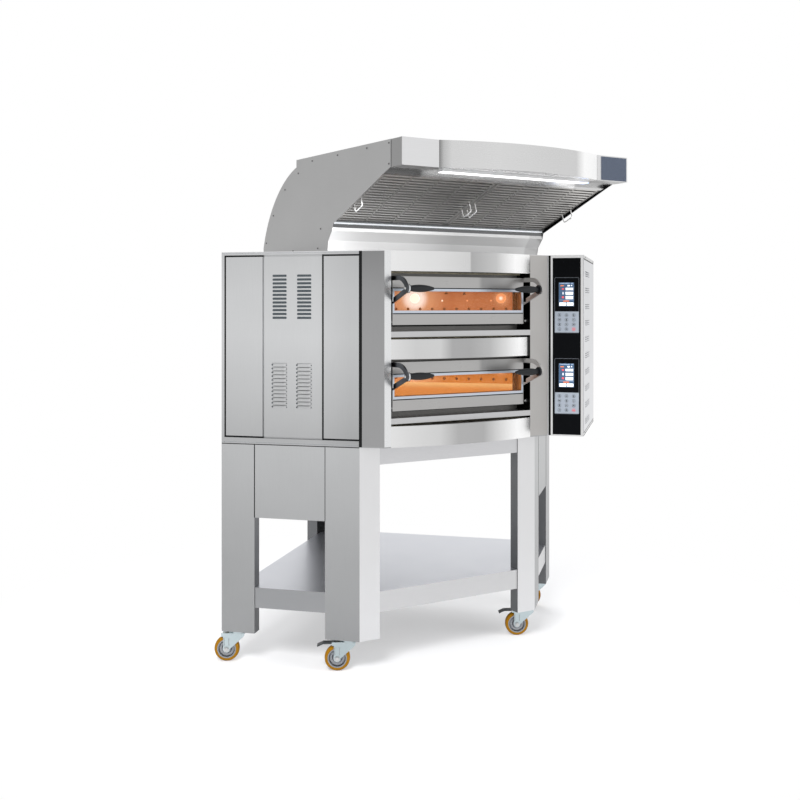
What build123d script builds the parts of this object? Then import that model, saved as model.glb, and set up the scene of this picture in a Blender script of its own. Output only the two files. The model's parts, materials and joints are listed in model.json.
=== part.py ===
from build123d import *
import os
from math import asin, atan2, cos, hypot, pi, sin, sqrt

# Electric deck pizza oven: a five-sided two-deck body on a wheeled stand, with a hood.
# Millimetres, +Z up. X runs along the flat front, +Y goes back.
# The model is laid out from the middle of the body's front at floor level, and is moved
# at the end so that its origin is the middle of its own footprint.

# Body
front_width = 710.0
side_length = 672.0
body_height = 760.0
stand_height = 874.0
sheet = 2.0
recess_depth = 68.0
left_strip = 30.0
right_post = 91.0
right_overhang = 83.0
column_side = 90.0
column_gap = 11.0
column_lip = 25.0
base_sheet = 4.0

# Front panels and sills
bottom_panel_height = 82.0
top_shadow = 6.0
panel_bow = 45.0
sill_shadow = 8.0
sill_height = 22.0
sill_return = 20.0
under_door = 25.0
between_doors = 145.0
over_door = 13.0

# Doors
door_recess = 22.0
door_side_gap = 19.0
door_share = 0.25
door_depth = 40.0
bottom_rail = 42.0
top_rail = 44.0
groove = 4.0
groove_depth = 8.0
trim_bar = 10.0
trim_stile = 7.5
trim_set_back = 1.0
trim_depth = 10.0
glass_thickness = 4.0
glass_fit = 0.3
glass_lap = 4.0
spacer_width = 6.0
hinge_in = 12.0
hinge_up = 12.0
hinge_pin_radius = 6.0
hinge_pin_in = 18.0
hinge_flange_radius = 12.0
hinge_flange = 4.0
hinge_boss = 24.0
hinge_boss_wall = 4.0
running_fit = 0.05
bore_fit = 0.1

# Door handles
bracket_thickness = 7.0
bracket_bar = 18.0
bracket_reach = 124.0
bracket_foot = 18.0
bracket_rise = 1.0
bracket_span = 118.0
bracket_arch = 75.0
grip_drop = 49.0
grip_nose = 17.0
grip_length = 115.0
grip_radius = 14.2
grip_flange_radius = 18.0
grip_flange = 8.0
grip_neck_radius = 10.0
grip_neck = 5.0
grip_tip_radius = 6.0

# Baking chambers
wall_left = 90.0
wall_right = 81.0
wall_rear = 90.0
flange_side = 15.0
chamber_rise = 2.0
chamber_headroom = 10.0
ledge_width = 20.0
ledge_height = 16.0
ledge_thickness = 4.0
stone_thickness = 18.0
stone_fit = 3.0
stone_split = 2.0
wall_hole_radius = 4.0
wall_hole_height = 58.0
wall_hole_pitch = 60.0
wall_hole_margin = 50.0
element_radius = 4.0
element_legs = 60.0
element_pitch = 140.0
element_count = 4
element_front = 112.0
element_length = 600.0
clip_height = 4.0
clip_width = 10.0
clip_inset = 90.0
clip_overhang = 15.0
element_sink = 0.5
lamp_radius = 24.0
lamp_depth = 10.0
lamp_height = 109.0
lamp_backs = (640.0, 218.0)
blanket = 25.0
blanket_fit = 0.5

# Left side
frame_depth = 12.0
frame_top = 13.0
frame_bottom = 24.0
frame_rear = 10.0
panel_gap = 7.0
front_panel_length = 143.0
louvred_panel_length = 240.0
panel_sheet = 1.5
louvre_length = 57.0
louvre_height = 7.0
louvre_pitch = 15.0
louvre_count = 12
louvre_columns = (45.0, 147.0)
louvre_low = (117.0, 465.0)
vent_margin = 18.0

# Control box on the right side
control_gap = 14.0
control_width = 136.0
glass_inner_margin = 8.0
glass_outer_margin = 11.0
glass_top_margin = 12.0
glass_bottom_margin = 6.0
control_glass_thickness = 5.0
control_pitch = 340.0
spacer_radius = 12.0
spacer_inset = 60.0
screen_width = 63.0
screen_height = 100.0
screen_drop = 115.0
screen_inset = 34.0
keypad_width = 99.0
keypad_height = 88.0
keypad_drop = 237.0
keypad_inset = 18.0
membrane = 1.2
cover_edge = 14.0
cover_fit = 0.3
side_slot_length = 200.0
side_slot_height = 5.0
side_slot_pitch = 9.0
side_slot_start = 100.0
side_slot_rows = 3
side_group_pitch = 70.0
side_group_count = 10
side_group_drop = 66.0
power_length = 240.0
power_depth = 90.0
power_height = 420.0
power_front = 240.0
gland_radius = 18.0
gland_bore = 11.0
gland_length = 30.0
gland_thread = 14.0
gland_nut = 22.0
gland_nut_height = 8.0
gland_along = 560.0

# Stand
leg_bottom = 124.0
leg_set_back = 70.0
leg_side = 140.0
leg_front = 90.0
leg_rear_face = 100.0
leg_lip = 50.0
leg_sheet = 3.0
rail_height = 73.0
rail_flange = 35.0
apron_height = 291.0
shelf_top = 306.0
shelf_lip = 80.0
shelf_sheet = 2.0
shelf_rear_inset = 65.0
seat_gap = 0.3

# Castors
wheel_radius = 50.0
wheel_width = 32.0
tyre_thickness = 12.0
tyre_round = 7.0
hub_width = 34.0
hub_radius = 17.0
hub_rim = 5.0
web_thickness = 8.0
castor_trail = 45.0
castor_heading = 149.6
swivel_along = 55.0
swivel_in = 40.0
corner_swivel_along = 46.0
castor_plate = 6.0
race_radius = 28.0
race_height = 10.0
kingpin_radius = 6.0
kingpin_head_radius = 10.0
kingpin_head = 5.0
crown_sheet = 5.0
fork_sheet = 3.0
fork_gap = 38.0
crown_front = 26.0
crown_rear = 66.0
crown_fold = 6.0
axle_radius = 6.0
axle_boss = 13.0
axle_head_radius = 9.0
axle_head = 3.0
pedal_pivot = (58.0, 108.0)
pedal_slot = 36.0
pedal_ear = 8.0
pedal_pin_radius = 3.0
pedal_sleeve_radius = 5.5
pedal_width = 34.0
pedal_sheet = 4.0
pedal_knee = (100.0, 107.0)
pedal_tip = (122.0, 97.0)

# Hood, heights from the top of the body
hood_half = 515.0
hood_front = -400.0
hood_corner_width = 151.0
hood_corner_return = 75.0
hood_bow = 70.0
hood_low = 271.0
hood_high = 368.0
hood_top_rear = (448.0, 387.0)
hood_step = 30.0
hood_back = 786.0
hood_back_middle = (660.0, 238.0)
hood_back_foot = 40.0
splash_foot = 173.0
splash_bend = (162.0, 42.0)
splash_brow = (132.0, 78.0)
splash_set_back = 3.0
cheek_knee = (-278.0, 257.0)
cheek_front_low = 274.0
filter_low = (127.0, 113.0)
filter_high = (-266.0, 259.0)
filter_depth = 25.0
filter_split = 2.0
filter_side_gap = 2.0
filter_ledge = 12.0
filter_slot_columns = 4
filter_slot_rows = 18
filter_slot_length = 112.0
filter_slot_height = 9.0
filter_slot_pitch_x = 122.0
filter_slot_pitch_y = 21.0
handle_wire_radius = 2.5
handle_wire_length = 62.0
handle_wire_drop = 34.0
handle_wire_inset = 12.0
handle_wire_bend = 8.0
handle_wire_place = 189.0
light_half = 335.0
light_depth = 30.0
light_height = 12.0
light_front = -380.0
light_lens = 3.0
fan_place = 300.0
fan_deck = 150.0
fan_deck_width = 90.0
fan_deck_sheet = 3.0
fan_deck_flange = 25.0
motor_radius = 60.0
motor_height = 80.0
shaft_radius = 8.0
shaft_in_motor = 30.0
impeller_radius = 110.0
impeller_height = 60.0
impeller_hub_radius = 22.0
impeller_gap = 7.0
blade_count = 8
blade_sheet = 3.0
spigot_radius = 75.0
spigot_height = 80.0
spigot_flange_radius = 95.0
spigot_flange = 4.0

# Values worked out from the sizes above
HALF = sqrt(0.5)
front_half = front_width / 2
rear_reach = front_half + 2 * side_length * HALF
rear_length = front_width * HALF + side_length
roof = stand_height + body_height
floor_top = stand_height + base_sheet
ceiling = roof - sheet
opening_left = -front_half + left_strip
post_corner = front_half + right_overhang
opening_right = post_corner - right_post
opening = (opening_left, opening_right)
post_out = right_overhang * HALF
mouth = recess_depth
door_left = opening_left + door_side_gap
door_right = opening_right - door_side_gap
door_height = body_height * door_share
bracket_top = door_height + bracket_rise
bracket_bottom = bracket_top - bracket_span
grip_height = door_height - grip_drop
chamber_height = door_height - chamber_headroom
deck_pitch = door_height + between_doors
first_deck = stand_height + bottom_panel_height + sill_shadow + sill_height + under_door
top_panel_height = roof - (first_deck + deck_pitch + door_height + over_door) - top_shadow
decks = {"lower": first_deck, "upper": first_deck + deck_pitch}
door_back = door_recess + door_depth
hinge_y = door_recess + hinge_in
leg_start = leg_set_back / HALF
control_inner = post_out + control_gap
control_outer = control_inner + control_width
control_front = right_overhang * HALF
hood_inner = hood_half - sheet
filter_run = filter_low[0] - filter_high[0]
filter_rise = filter_high[1] - filter_low[1]
filter_length = sqrt(filter_run ** 2 + filter_rise ** 2)

on_seat = (Align.CENTER, Align.CENTER, Align.MIN)
parts = {}


def left_point(along, out=0.0):
    """A point on the left wall: along it from the front corner, and out from it."""
    return (-front_half - (along + out) * HALF, (along - out) * HALF)


def right_point(along, out=0.0):
    """The same point on the right wall."""
    x, y = left_point(along, out)
    return (-x, y)


def rear_point(along, out=0.0, hand=1):
    """A point on a rear wall: along it from the rear corner; hand is 1 for the right wall."""
    return (hand * (along + out) * HALF, rear_reach - (along - out) * HALF)


def body_outline(front=0.0, left=0.0, rear=0.0, right=0.0):
    """The five-sided outline, drawn in by a distance at each side."""
    a = -front_half + left / HALF
    b = rear_reach - rear / HALF
    d = front_half - right / HALF
    return [
        (a - front, front),
        (d + front, front),
        ((b + d) / 2, (b - d) / 2),
        (0.0, b),
        ((a - b) / 2, (a + b) / 2),
    ]


def outline_face(*edges):
    return make_face(Wire(edges))


def prism(points, low, high):
    """An upright prism on a plan outline."""
    face = make_face(Polyline(*points, close=True))
    return Pos(0, 0, low) * extrude(face, amount=high - low, dir=(0, 0, 1))


def box(x, y, z):
    """A block between pairs of limits."""
    block = Box(x[1] - x[0], y[1] - y[0], z[1] - z[0])
    return Pos((x[0] + x[1]) / 2, (y[0] + y[1]) / 2, (z[0] + z[1]) / 2) * block


def along_x(face, x):
    """A face drawn in Y and Z, drawn out between two places on X."""
    return Pos(x[0], 0, 0) * extrude(Plane.YZ * face, amount=x[1] - x[0], dir=(1, 0, 0))


def wall_block(point, along, out, z):
    """A block against a wall, between limits along it and out from it."""
    corners = [
        point(along[0], out[0]),
        point(along[1], out[0]),
        point(along[1], out[1]),
        point(along[0], out[1]),
    ]
    return prism(corners, z[0], z[1])


def unit(a, b):
    length = sqrt((b[0] - a[0]) ** 2 + (b[1] - a[1]) ** 2)
    return ((b[0] - a[0]) / length, (b[1] - a[1]) / length)


def folded(path, thickness):
    """The outline of a folded sheet, whose thickness lies to the left of its path."""
    normals = []
    for a, b in zip(path, path[1:]):
        u = unit(a, b)
        normals.append((-u[1], u[0]))
    inner = []
    for i, p in enumerate(path):
        before = normals[max(i - 1, 0)]
        after = normals[min(i, len(normals) - 1)]
        share = thickness / (1 + before[0] * after[0] + before[1] * after[1])
        inner.append((p[0] + (before[0] + after[0]) * share, p[1] + (before[1] + after[1]) * share))
    return list(path) + inner[::-1]


def folded_face(path, thickness):
    return make_face(Polyline(*folded(path, thickness), close=True))


def mirrored(shape):
    return mirror(shape, about=Plane.YZ)


def group(*shapes):
    """Separate solids kept in one node."""
    solids = []
    for shape in shapes:
        solids.extend(shape.solids())
    return Compound(solids)


# Body shell: base pan, roof, side and rear walls, columns, front panels and sills.

def casing_outline():
    return [
        (-front_half, 0.0),
        (post_corner, 0.0),
        right_point(side_length, post_out),
        (0.0, rear_reach),
        left_point(side_length),
    ]


def bowed_tray(x, y, bow, z):
    """A pan whose face bows forward, open at the back."""
    middle = (x[0] + x[1]) / 2
    shapes = []
    for inset, back in ((0.0, y[1]), (sheet, y[1] + sheet)):
        start = (x[0] + inset, y[0] + inset)
        end = (x[1] - inset, y[0] + inset)
        corner = (x[1] - inset, back)
        other = (x[0] + inset, back)
        shapes.append(outline_face(
            Edge.make_three_point_arc(Vector(*start), Vector(middle, y[0] - bow + inset), Vector(*end)),
            Edge.make_line(Vector(*end), Vector(*corner)),
            Edge.make_line(Vector(*corner), Vector(*other)),
            Edge.make_line(Vector(*other), Vector(*start)),
        ))
    solid = Pos(0, 0, z[0]) * extrude(shapes[0], amount=z[1] - z[0], dir=(0, 0, 1))
    hollow = extrude(shapes[1], amount=z[1] - z[0] - 2 * sheet, dir=(0, 0, 1))
    return solid - Pos(0, 0, z[0] + sheet) * hollow


def build_shell():
    front_cut = box(opening, (-panel_bow, mouth), (stand_height, roof))
    parts["base_pan"] = prism(casing_outline(), stand_height, floor_top) - front_cut
    parts["roof_panel"] = prism(casing_outline(), ceiling, roof) - front_cut

    path = [
        left_point(column_side, -column_lip),
        left_point(column_side),
        (-front_half, 0.0),
        (opening_left, 0.0),
        (opening_left, mouth),
    ]
    parts["column_left"] = prism(folded(path, sheet), floor_top, ceiling)

    joggle = post_out - frame_depth
    column_end = post_out + column_side
    path = [
        (opening_right, mouth),
        (opening_right, 0.0),
        (post_corner, 0.0),
        right_point(column_end, post_out),
        right_point(column_end, post_out - column_lip),
    ]
    parts["column_right"] = prism(folded(path, sheet), floor_top, ceiling)

    wall_start = column_end + column_gap
    path = [
        right_point(column_end, joggle),
        right_point(wall_start, joggle),
        right_point(wall_start, post_out),
        right_point(side_length - sheet, post_out),
    ]
    parts["right_side_wall"] = prism(folded(path, sheet), floor_top, ceiling)

    path = [right_point(side_length, post_out), (0.0, rear_reach), left_point(side_length)]
    parts["rear_wall"] = prism(folded(path, sheet), floor_top, ceiling)

    lows = (stand_height, decks["lower"] + door_height + over_door, roof - top_panel_height)
    middle_high = decks["upper"] - under_door - sill_height - sill_shadow
    highs = (stand_height + bottom_panel_height, middle_high, roof)
    for name, low, high in zip(("bottom", "middle", "top"), lows, highs):
        parts[f"fascia_{name}"] = bowed_tray(opening, (0.0, mouth), panel_bow, (low, high))

    sills = []
    for deck in decks.values():
        high = deck - under_door
        sill = box(opening, (0, mouth), (high - sheet, high))
        sill += box(opening, (0, sheet), (high - sill_height, high))
        sill += box(opening, (0, sill_return), (high - sill_height, high - sill_height + sheet))
        sills.append(sill)
    parts["door_sills"] = group(*sills)


def build_left_side():
    start = column_side + column_gap
    end = side_length - sheet
    back = -frame_depth + sheet
    low = stand_height + frame_bottom
    high = roof - frame_top
    panel_low, panel_high = low + panel_gap, high - panel_gap
    louvred = start + front_panel_length + panel_gap
    rear = louvred + louvred_panel_length + panel_gap

    frame = wall_block(left_point, (column_side, end), (-frame_depth, back), (floor_top, ceiling))
    vent = (louvred + vent_margin, louvred + louvred_panel_length - vent_margin)
    vent_z = (panel_low + vent_margin, panel_high - vent_margin)
    frame -= wall_block(left_point, vent, (-frame_depth, back), vent_z)
    frame += wall_block(left_point, (start, end), (back, 0), (floor_top, low))
    frame += wall_block(left_point, (start, end), (back, 0), (high, ceiling))
    frame += wall_block(left_point, (end - frame_rear, end), (back, 0), (floor_top, ceiling))
    parts["left_side_frame"] = frame

    def panel(along):
        tray = wall_block(left_point, along, (back, 0), (panel_low, panel_high))
        inside = (along[0] + panel_sheet, along[1] - panel_sheet)
        return tray - wall_block(
            left_point, inside, (back, -panel_sheet), (panel_low + panel_sheet, panel_high - panel_sheet)
        )

    slotted = panel((louvred, louvred + louvred_panel_length))
    slots = []
    for column in louvre_columns:
        for first in louvre_low:
            for row in range(louvre_count):
                z = panel_low + first + row * louvre_pitch
                along = (louvred + column, louvred + column + louvre_length)
                through = (-2 * panel_sheet, panel_sheet)
                slots.append(wall_block(left_point, along, through, (z, z + louvre_height)))
    parts["left_louvred_panel"] = slotted - slots
    parts["left_plain_panels"] = group(
        panel((start, start + front_panel_length)),
        panel((rear, end - frame_rear - panel_gap)),
    )


# Baking chambers, what lies in them and the blanket round them.

def chamber_outline(inset=0.0, front=mouth):
    return body_outline(front, wall_left + inset, wall_rear + inset, wall_right + inset)


def build_chamber(name, deck):
    low = deck + chamber_rise
    high = low + chamber_height
    shell = prism(chamber_outline(), low, high)
    flange_x = (opening_left - flange_side, opening_right + flange_side)
    shell += box(flange_x, (mouth, mouth + sheet), (deck - under_door, deck + door_height + over_door))
    shell -= prism(chamber_outline(sheet, mouth - sheet), low + sheet, high - sheet)
    ledge_low = low + ledge_height
    ledge_high = ledge_low + ledge_thickness
    ledge = prism(chamber_outline(sheet), ledge_low, ledge_high)
    ledge -= prism(chamber_outline(sheet + ledge_width, mouth + ledge_width), ledge_low, ledge_high)
    shell += ledge
    holes = []
    first = wall_rear + wall_hole_margin
    last = rear_length - max(wall_left, wall_right) - wall_hole_margin
    for hand in (-1, 1):
        for i in range(int((last - first) / wall_hole_pitch) + 1):
            x, y = rear_point(first + i * wall_hole_pitch, -wall_rear, hand)
            drill = Plane(origin=(x, y, low + wall_hole_height), z_dir=(hand, 1, 0))
            holes.append(drill * Cylinder(wall_hole_radius, 4 * sheet))
    parts[f"chamber_{name}"] = shell - holes


def hairpin(x, z):
    """One bent tube element, with its bend at the back."""
    half = element_legs / 2
    rear = element_front + element_length - half
    path = Wire([
        Edge.make_line((x - half, element_front, z), (x - half, rear, z)),
        Edge.make_three_point_arc((x - half, rear, z), (x, rear + half, z), (x + half, rear, z)),
        Edge.make_line((x + half, rear, z), (x + half, element_front, z)),
    ])
    section = Plane(origin=(x - half, element_front, z), z_dir=(0, 1, 0)) * Circle(element_radius)
    return sweep(section, path=path)


def build_chamber_fittings():
    stones, elements, lamps = [], [], []
    centre = (opening_left + opening_right) / 2
    reach = (element_count - 1) * element_pitch / 2
    bar_half = reach + element_legs / 2 + clip_overhang
    bar_x = (centre - bar_half, centre + bar_half)
    clip_places = (element_front + clip_inset, element_front + element_length - clip_inset)
    for deck in decks.values():
        low = deck + chamber_rise
        stone_low = low + ledge_height + ledge_thickness
        stone_z = (stone_low, stone_low + stone_thickness)
        slab = prism(chamber_outline(sheet + stone_fit, mouth + stone_fit), *stone_z)
        slab -= box((centre - stone_split / 2, centre + stone_split / 2), (0, rear_reach), stone_z)
        stones.append(slab)

        floor_z = low + sheet
        ceiling_z = low + chamber_height - sheet
        for bar_z, tube_z in (
            ((floor_z, floor_z + clip_height), floor_z + clip_height + element_radius - element_sink),
            ((ceiling_z - clip_height, ceiling_z), ceiling_z - clip_height - element_radius + element_sink),
        ):
            tray = box(bar_x, (clip_places[0], clip_places[0] + clip_width), bar_z)
            tray += box(bar_x, (clip_places[1] - clip_width, clip_places[1]), bar_z)
            for i in range(element_count):
                tray += hairpin(centre - reach + i * element_pitch, tube_z)
            elements.append(tray)

        for back in lamp_backs:
            x, y = rear_point(rear_length - back, -(wall_rear + sheet))
            seat = Plane(origin=(x, y, low + lamp_height), z_dir=(-1, -1, 0))
            lamps.append(seat * Cylinder(lamp_radius, lamp_depth, align=on_seat))
    parts["deck_stones"] = group(*stones)
    parts["heating_elements"] = group(*elements)
    parts["chamber_lamps"] = group(*lamps)

    front = mouth + sheet + blanket_fit
    outside = body_outline(front, wall_left - blanket, wall_rear - blanket, wall_right - blanket)
    fill = prism(outside, floor_top, ceiling)
    for deck in decks.values():
        low = deck + chamber_rise
        around = chamber_outline(-blanket_fit, front)
        fill -= prism(around, low - blanket_fit, low + chamber_height + blanket_fit)
    parts["insulation"] = fill


# Doors, built at a deck height and closed.

def build_door(name, deck):
    ends = (door_left, door_right)
    inside = (door_left + sheet, door_right - sheet)
    cover_front = door_back - sheet
    front = door_recess
    rail_top = deck + bottom_rail
    rail_bottom = deck + door_height - top_rail
    inner_y = (front + sheet, cover_front)

    frame = box(ends, (front, cover_front), (deck, deck + door_height))
    frame -= box(inside, inner_y, (deck + sheet, rail_top - sheet))
    frame -= box(inside, inner_y, (rail_bottom + sheet, deck + door_height - sheet))
    frame -= box(inside, (front, cover_front), (rail_top, rail_bottom))
    boss_reach = hinge_pin_radius + hinge_boss_wall
    boss_z = (deck + sheet, deck + hinge_up + boss_reach)
    for x in ((door_left, door_left + hinge_boss), (door_right - hinge_boss, door_right)):
        frame += box(x, (front + sheet, hinge_y + boss_reach), boss_z)
        bore = Pos((x[0] + x[1]) / 2, hinge_y, deck + hinge_up) * Rot(0, 90, 0)
        frame -= bore * Cylinder(hinge_pin_radius + running_fit, hinge_boss)

    window_x = (inside[0] + trim_stile, inside[1] - trim_stile)
    window_z = (rail_top + groove + trim_bar, rail_bottom - groove - trim_bar)
    pocket_x = (window_x[0] - glass_lap, window_x[1] + glass_lap)
    pocket_z = (window_z[0] - glass_lap, window_z[1] + glass_lap)
    glass_front = front + trim_set_back + trim_depth
    ring = box(inside, (front + trim_set_back, cover_front), (rail_top + groove, rail_bottom - groove))
    ring += box(inside, (front + groove_depth, cover_front), (rail_top, rail_bottom))
    ring -= box(window_x, (front, glass_front), window_z)
    ring -= box(pocket_x, (glass_front, cover_front), pocket_z)
    cover = box(ends, (cover_front, door_back), (deck, deck + door_height))
    cover -= box(window_x, (cover_front, door_back), window_z)
    parts[f"{name}_door_frame"] = group(frame, ring, cover)

    pane_x = (pocket_x[0] + glass_fit, pocket_x[1] - glass_fit)
    pane_z = (pocket_z[0] + glass_fit, pocket_z[1] - glass_fit)
    outer = box(pane_x, (glass_front, glass_front + glass_thickness), pane_z)
    inner = box(pane_x, (cover_front - glass_thickness, cover_front), pane_z)
    between = (glass_front + glass_thickness, cover_front - glass_thickness)
    spacer = box(pane_x, between, pane_z)
    hole_x = (pane_x[0] + spacer_width / 2, pane_x[1] - spacer_width / 2)
    hole_z = (pane_z[0] + spacer_width / 2, pane_z[1] - spacer_width / 2)
    spacer -= box(hole_x, between, hole_z)
    parts[f"{name}_door_glass"] = group(outer, spacer, inner)

    grip_y = door_recess - bracket_reach + grip_nose
    foot_y = door_recess + bracket_foot
    nose, foot = (grip_y, deck + grip_height), (foot_y, deck + bracket_bottom)
    outline = bracket_outline(nose, foot, deck + bracket_top)
    hollow = offset(outline, -bracket_bar)
    reach_back = bracket_bar * 2
    hollow_z = (deck + bracket_bottom + bracket_bar, deck + bracket_top - bracket_bar)
    hollow += Pos(foot_y - reach_back, hollow_z[0]) * Rectangle(
        2 * reach_back, hollow_z[1] - hollow_z[0], align=(Align.MIN, Align.MIN)
    )
    band = outline - hollow
    grip = build_grip()
    pieces = []
    for hand, x in ((1, door_left), (-1, door_right)):
        plate_x = (x - bracket_thickness, x) if hand > 0 else (x, x + bracket_thickness)
        pieces.append(along_x(band, plate_x))
        turn = Rot(0, 0, 0) if hand > 0 else Rot(0, 0, 180)
        pieces.append(Pos(x, grip_y, deck + grip_height) * turn * grip)
    parts[f"{name}_door_handles"] = group(*pieces)

    pins = []
    for hand, wall, x in ((1, opening_left, door_left), (-1, opening_right, door_right)):
        length = abs(x - wall) + hinge_pin_in
        lie = Pos(wall, hinge_y, deck + hinge_up) * Rot(0, 90 * hand, 0)
        pin = lie * Cylinder(hinge_pin_radius, length, align=on_seat)
        pins.append(pin + lie * Cylinder(hinge_flange_radius, hinge_flange, align=on_seat))
    return pins


def bracket_outline(nose, foot, top):
    """The edge of a bracket: up from the foot, round the grip, and back over the arch."""
    under = atan2(nose[1] - foot[1], nose[0] - foot[0])
    under += asin(grip_nose / hypot(nose[0] - foot[0], nose[1] - foot[1]))
    rise = nose[1] - (top - bracket_arch)
    between = bracket_arch - grip_nose
    crown = nose[0] + sqrt(between ** 2 - rise ** 2)
    over = atan2(rise, nose[0] - crown)

    def nose_point(turn):
        return (nose[0] + cos(turn) * grip_nose, nose[1] + sin(turn) * grip_nose)

    def arch_point(turn):
        return (crown + cos(turn) * bracket_arch, top - bracket_arch + sin(turn) * bracket_arch)

    low = under + pi / 2
    return outline_face(
        Edge.make_line(foot, nose_point(low)),
        Edge.make_three_point_arc(nose_point(low), nose_point((low + over) / 2), nose_point(over)),
        Edge.make_three_point_arc(nose_point(over), arch_point((over + pi / 2) / 2), arch_point(pi / 2)),
        Edge.make_line(arch_point(pi / 2), (foot[0], top)),
        Edge.make_line((foot[0], top), foot),
    )


def build_grip():
    """A turned grip on the X axis, from its flange to its tip."""
    neck = grip_flange + grip_neck
    end = grip_flange + grip_length
    belly = (neck + end) / 2
    profile = outline_face(
        Edge.make_line((0, 0), (0, grip_flange_radius)),
        Edge.make_line((0, grip_flange_radius), (grip_flange, grip_flange_radius)),
        Edge.make_line((grip_flange, grip_flange_radius), (grip_flange, grip_neck_radius)),
        Edge.make_line((grip_flange, grip_neck_radius), (neck, grip_neck_radius)),
        Edge.make_three_point_arc(
            (neck, grip_neck_radius), (belly, grip_radius), (end - grip_tip_radius, grip_tip_radius)
        ),
        Edge.make_three_point_arc(
            (end - grip_tip_radius, grip_tip_radius),
            (end - grip_tip_radius * (1 - HALF), grip_tip_radius * HALF),
            (end, 0),
        ),
        Edge.make_line((end, 0), (0, 0)),
    )
    return revolve(profile, axis=Axis.X)


# Control box, out from the right wall.

def build_control_box():
    along = (control_front, side_length)
    out = (control_inner, control_outer)
    high = roof
    casing = wall_block(right_point, along, out, (stand_height, high))
    inner_along = (along[0] + sheet, along[1] - sheet)
    inner_out = (out[0] + sheet, out[1] - sheet)
    casing -= wall_block(right_point, inner_along, inner_out, (stand_height + sheet, high - sheet))
    glass_out = (out[0] + glass_inner_margin, out[1] - glass_outer_margin)
    glass_z = (stand_height + glass_bottom_margin, high - glass_top_margin)
    casing -= wall_block(right_point, (along[0], inner_along[0]), glass_out, glass_z)
    cover_along = (along[0] + cover_edge, along[1] - cover_edge)
    cover_z = (stand_height + cover_edge, high - cover_edge)
    casing -= wall_block(right_point, cover_along, (inner_out[1], out[1]), cover_z)

    middle = (out[0] + out[1]) / 2
    gland_x, gland_y = right_point(gland_along, middle)
    thread_radius = gland_thread + bore_fit
    casing -= Pos(gland_x, gland_y, stand_height) * Cylinder(thread_radius, 4 * sheet)
    for t in (along[0] + control_width + spacer_inset, along[1] - spacer_inset):
        for z in (stand_height + spacer_inset, high - spacer_inset):
            x, y = right_point(t, post_out)
            seat = Plane(origin=(x, y, z), z_dir=(1, -1, 0))
            casing += seat * Cylinder(spacer_radius, control_gap, align=on_seat)
    parts["control_casing"] = casing

    cover = wall_block(
        right_point,
        (cover_along[0] + cover_fit, cover_along[1] - cover_fit),
        (inner_out[1], out[1]),
        (cover_z[0] + cover_fit, cover_z[1] - cover_fit),
    )
    slots = []
    slot_start = along[0] + side_slot_start
    for i in range(side_group_count):
        for row in range(side_slot_rows):
            z = high - side_group_drop - i * side_group_pitch - row * side_slot_pitch
            run = (slot_start, slot_start + side_slot_length)
            slots.append(wall_block(right_point, run, (inner_out[1], out[1]), (z, z + side_slot_height)))
    parts["control_side_cover"] = cover - slots

    glass = wall_block(
        right_point,
        (along[0], along[0] + control_glass_thickness),
        (glass_out[0] + glass_fit, glass_out[1] - glass_fit),
        (glass_z[0] + glass_fit, glass_z[1] - glass_fit),
    )
    parts["control_glass"] = glass

    pads = []
    pad_along = (along[0] - membrane, along[0])
    for drop in (0.0, control_pitch):
        for width, height, fall, inset in (
            (screen_width, screen_height, screen_drop, screen_inset),
            (keypad_width, keypad_height, keypad_drop, keypad_inset),
        ):
            top = high - fall - drop
            side = out[0] + inset
            pads.append(wall_block(right_point, pad_along, (side, side + width), (top - height, top)))
    parts["control_keypads"] = group(*pads)

    power_low = stand_height + sheet
    parts["power_unit"] = wall_block(
        right_point,
        (power_front, power_front + power_length),
        (inner_out[0], inner_out[0] + power_depth),
        (power_low, power_low + power_height),
    )

    hang = (Align.CENTER, Align.CENTER, Align.MAX)
    seat = Pos(gland_x, gland_y, stand_height)
    gland = seat * Cylinder(gland_radius, gland_length, align=hang)
    gland += seat * Cylinder(gland_thread, sheet + gland_nut_height, align=on_seat)
    gland += seat * Pos(0, 0, sheet) * Cylinder(gland_nut, gland_nut_height, align=on_seat)
    gland -= Pos(gland_x, gland_y, stand_height) * Cylinder(gland_bore, 2 * gland_length)
    parts["cable_gland"] = gland


# Stand legs: folded channels, one at each corner of the outline.

def leg_path(corner, inward, length_in, outward, length_out, grow=0.0):
    """The outside of a leg, travelling with the inside of the stand on the left."""
    normal_in = (inward[1], -inward[0])
    normal_out = (-outward[1], outward[0])
    lip = leg_lip + grow
    first = [corner[i] + inward[i] * (length_in + grow) for i in (0, 1)]
    last = [corner[i] + outward[i] * (length_out + grow) for i in (0, 1)]
    return [
        tuple(first[i] + normal_in[i] * lip for i in (0, 1)),
        tuple(first),
        corner,
        tuple(last),
        tuple(last[i] + normal_out[i] * lip for i in (0, 1)),
    ]


front_leg = (left_point(leg_start), (-HALF, HALF), leg_side, (1.0, 0.0), leg_front)
rear_leg = (left_point(side_length), (HALF, HALF), leg_rear_face, (HALF, -HALF), leg_side)
corner_leg = ((0.0, rear_reach), (HALF, -HALF), leg_side, (-HALF, -HALF), leg_side)


def leg(spec):
    return prism(folded(leg_path(*spec), leg_sheet), leg_bottom, stand_height)


def channel(point, span, height):
    """A rail along a wall, with a flange along its top and its bottom."""
    low = stand_height - height
    rail = wall_block(point, span, (-leg_sheet, 0), (low, stand_height))
    for z in (low, stand_height - leg_sheet):
        rail += wall_block(point, span, (-rail_flange, 0), (z, z + leg_sheet))
    return rail


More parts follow.
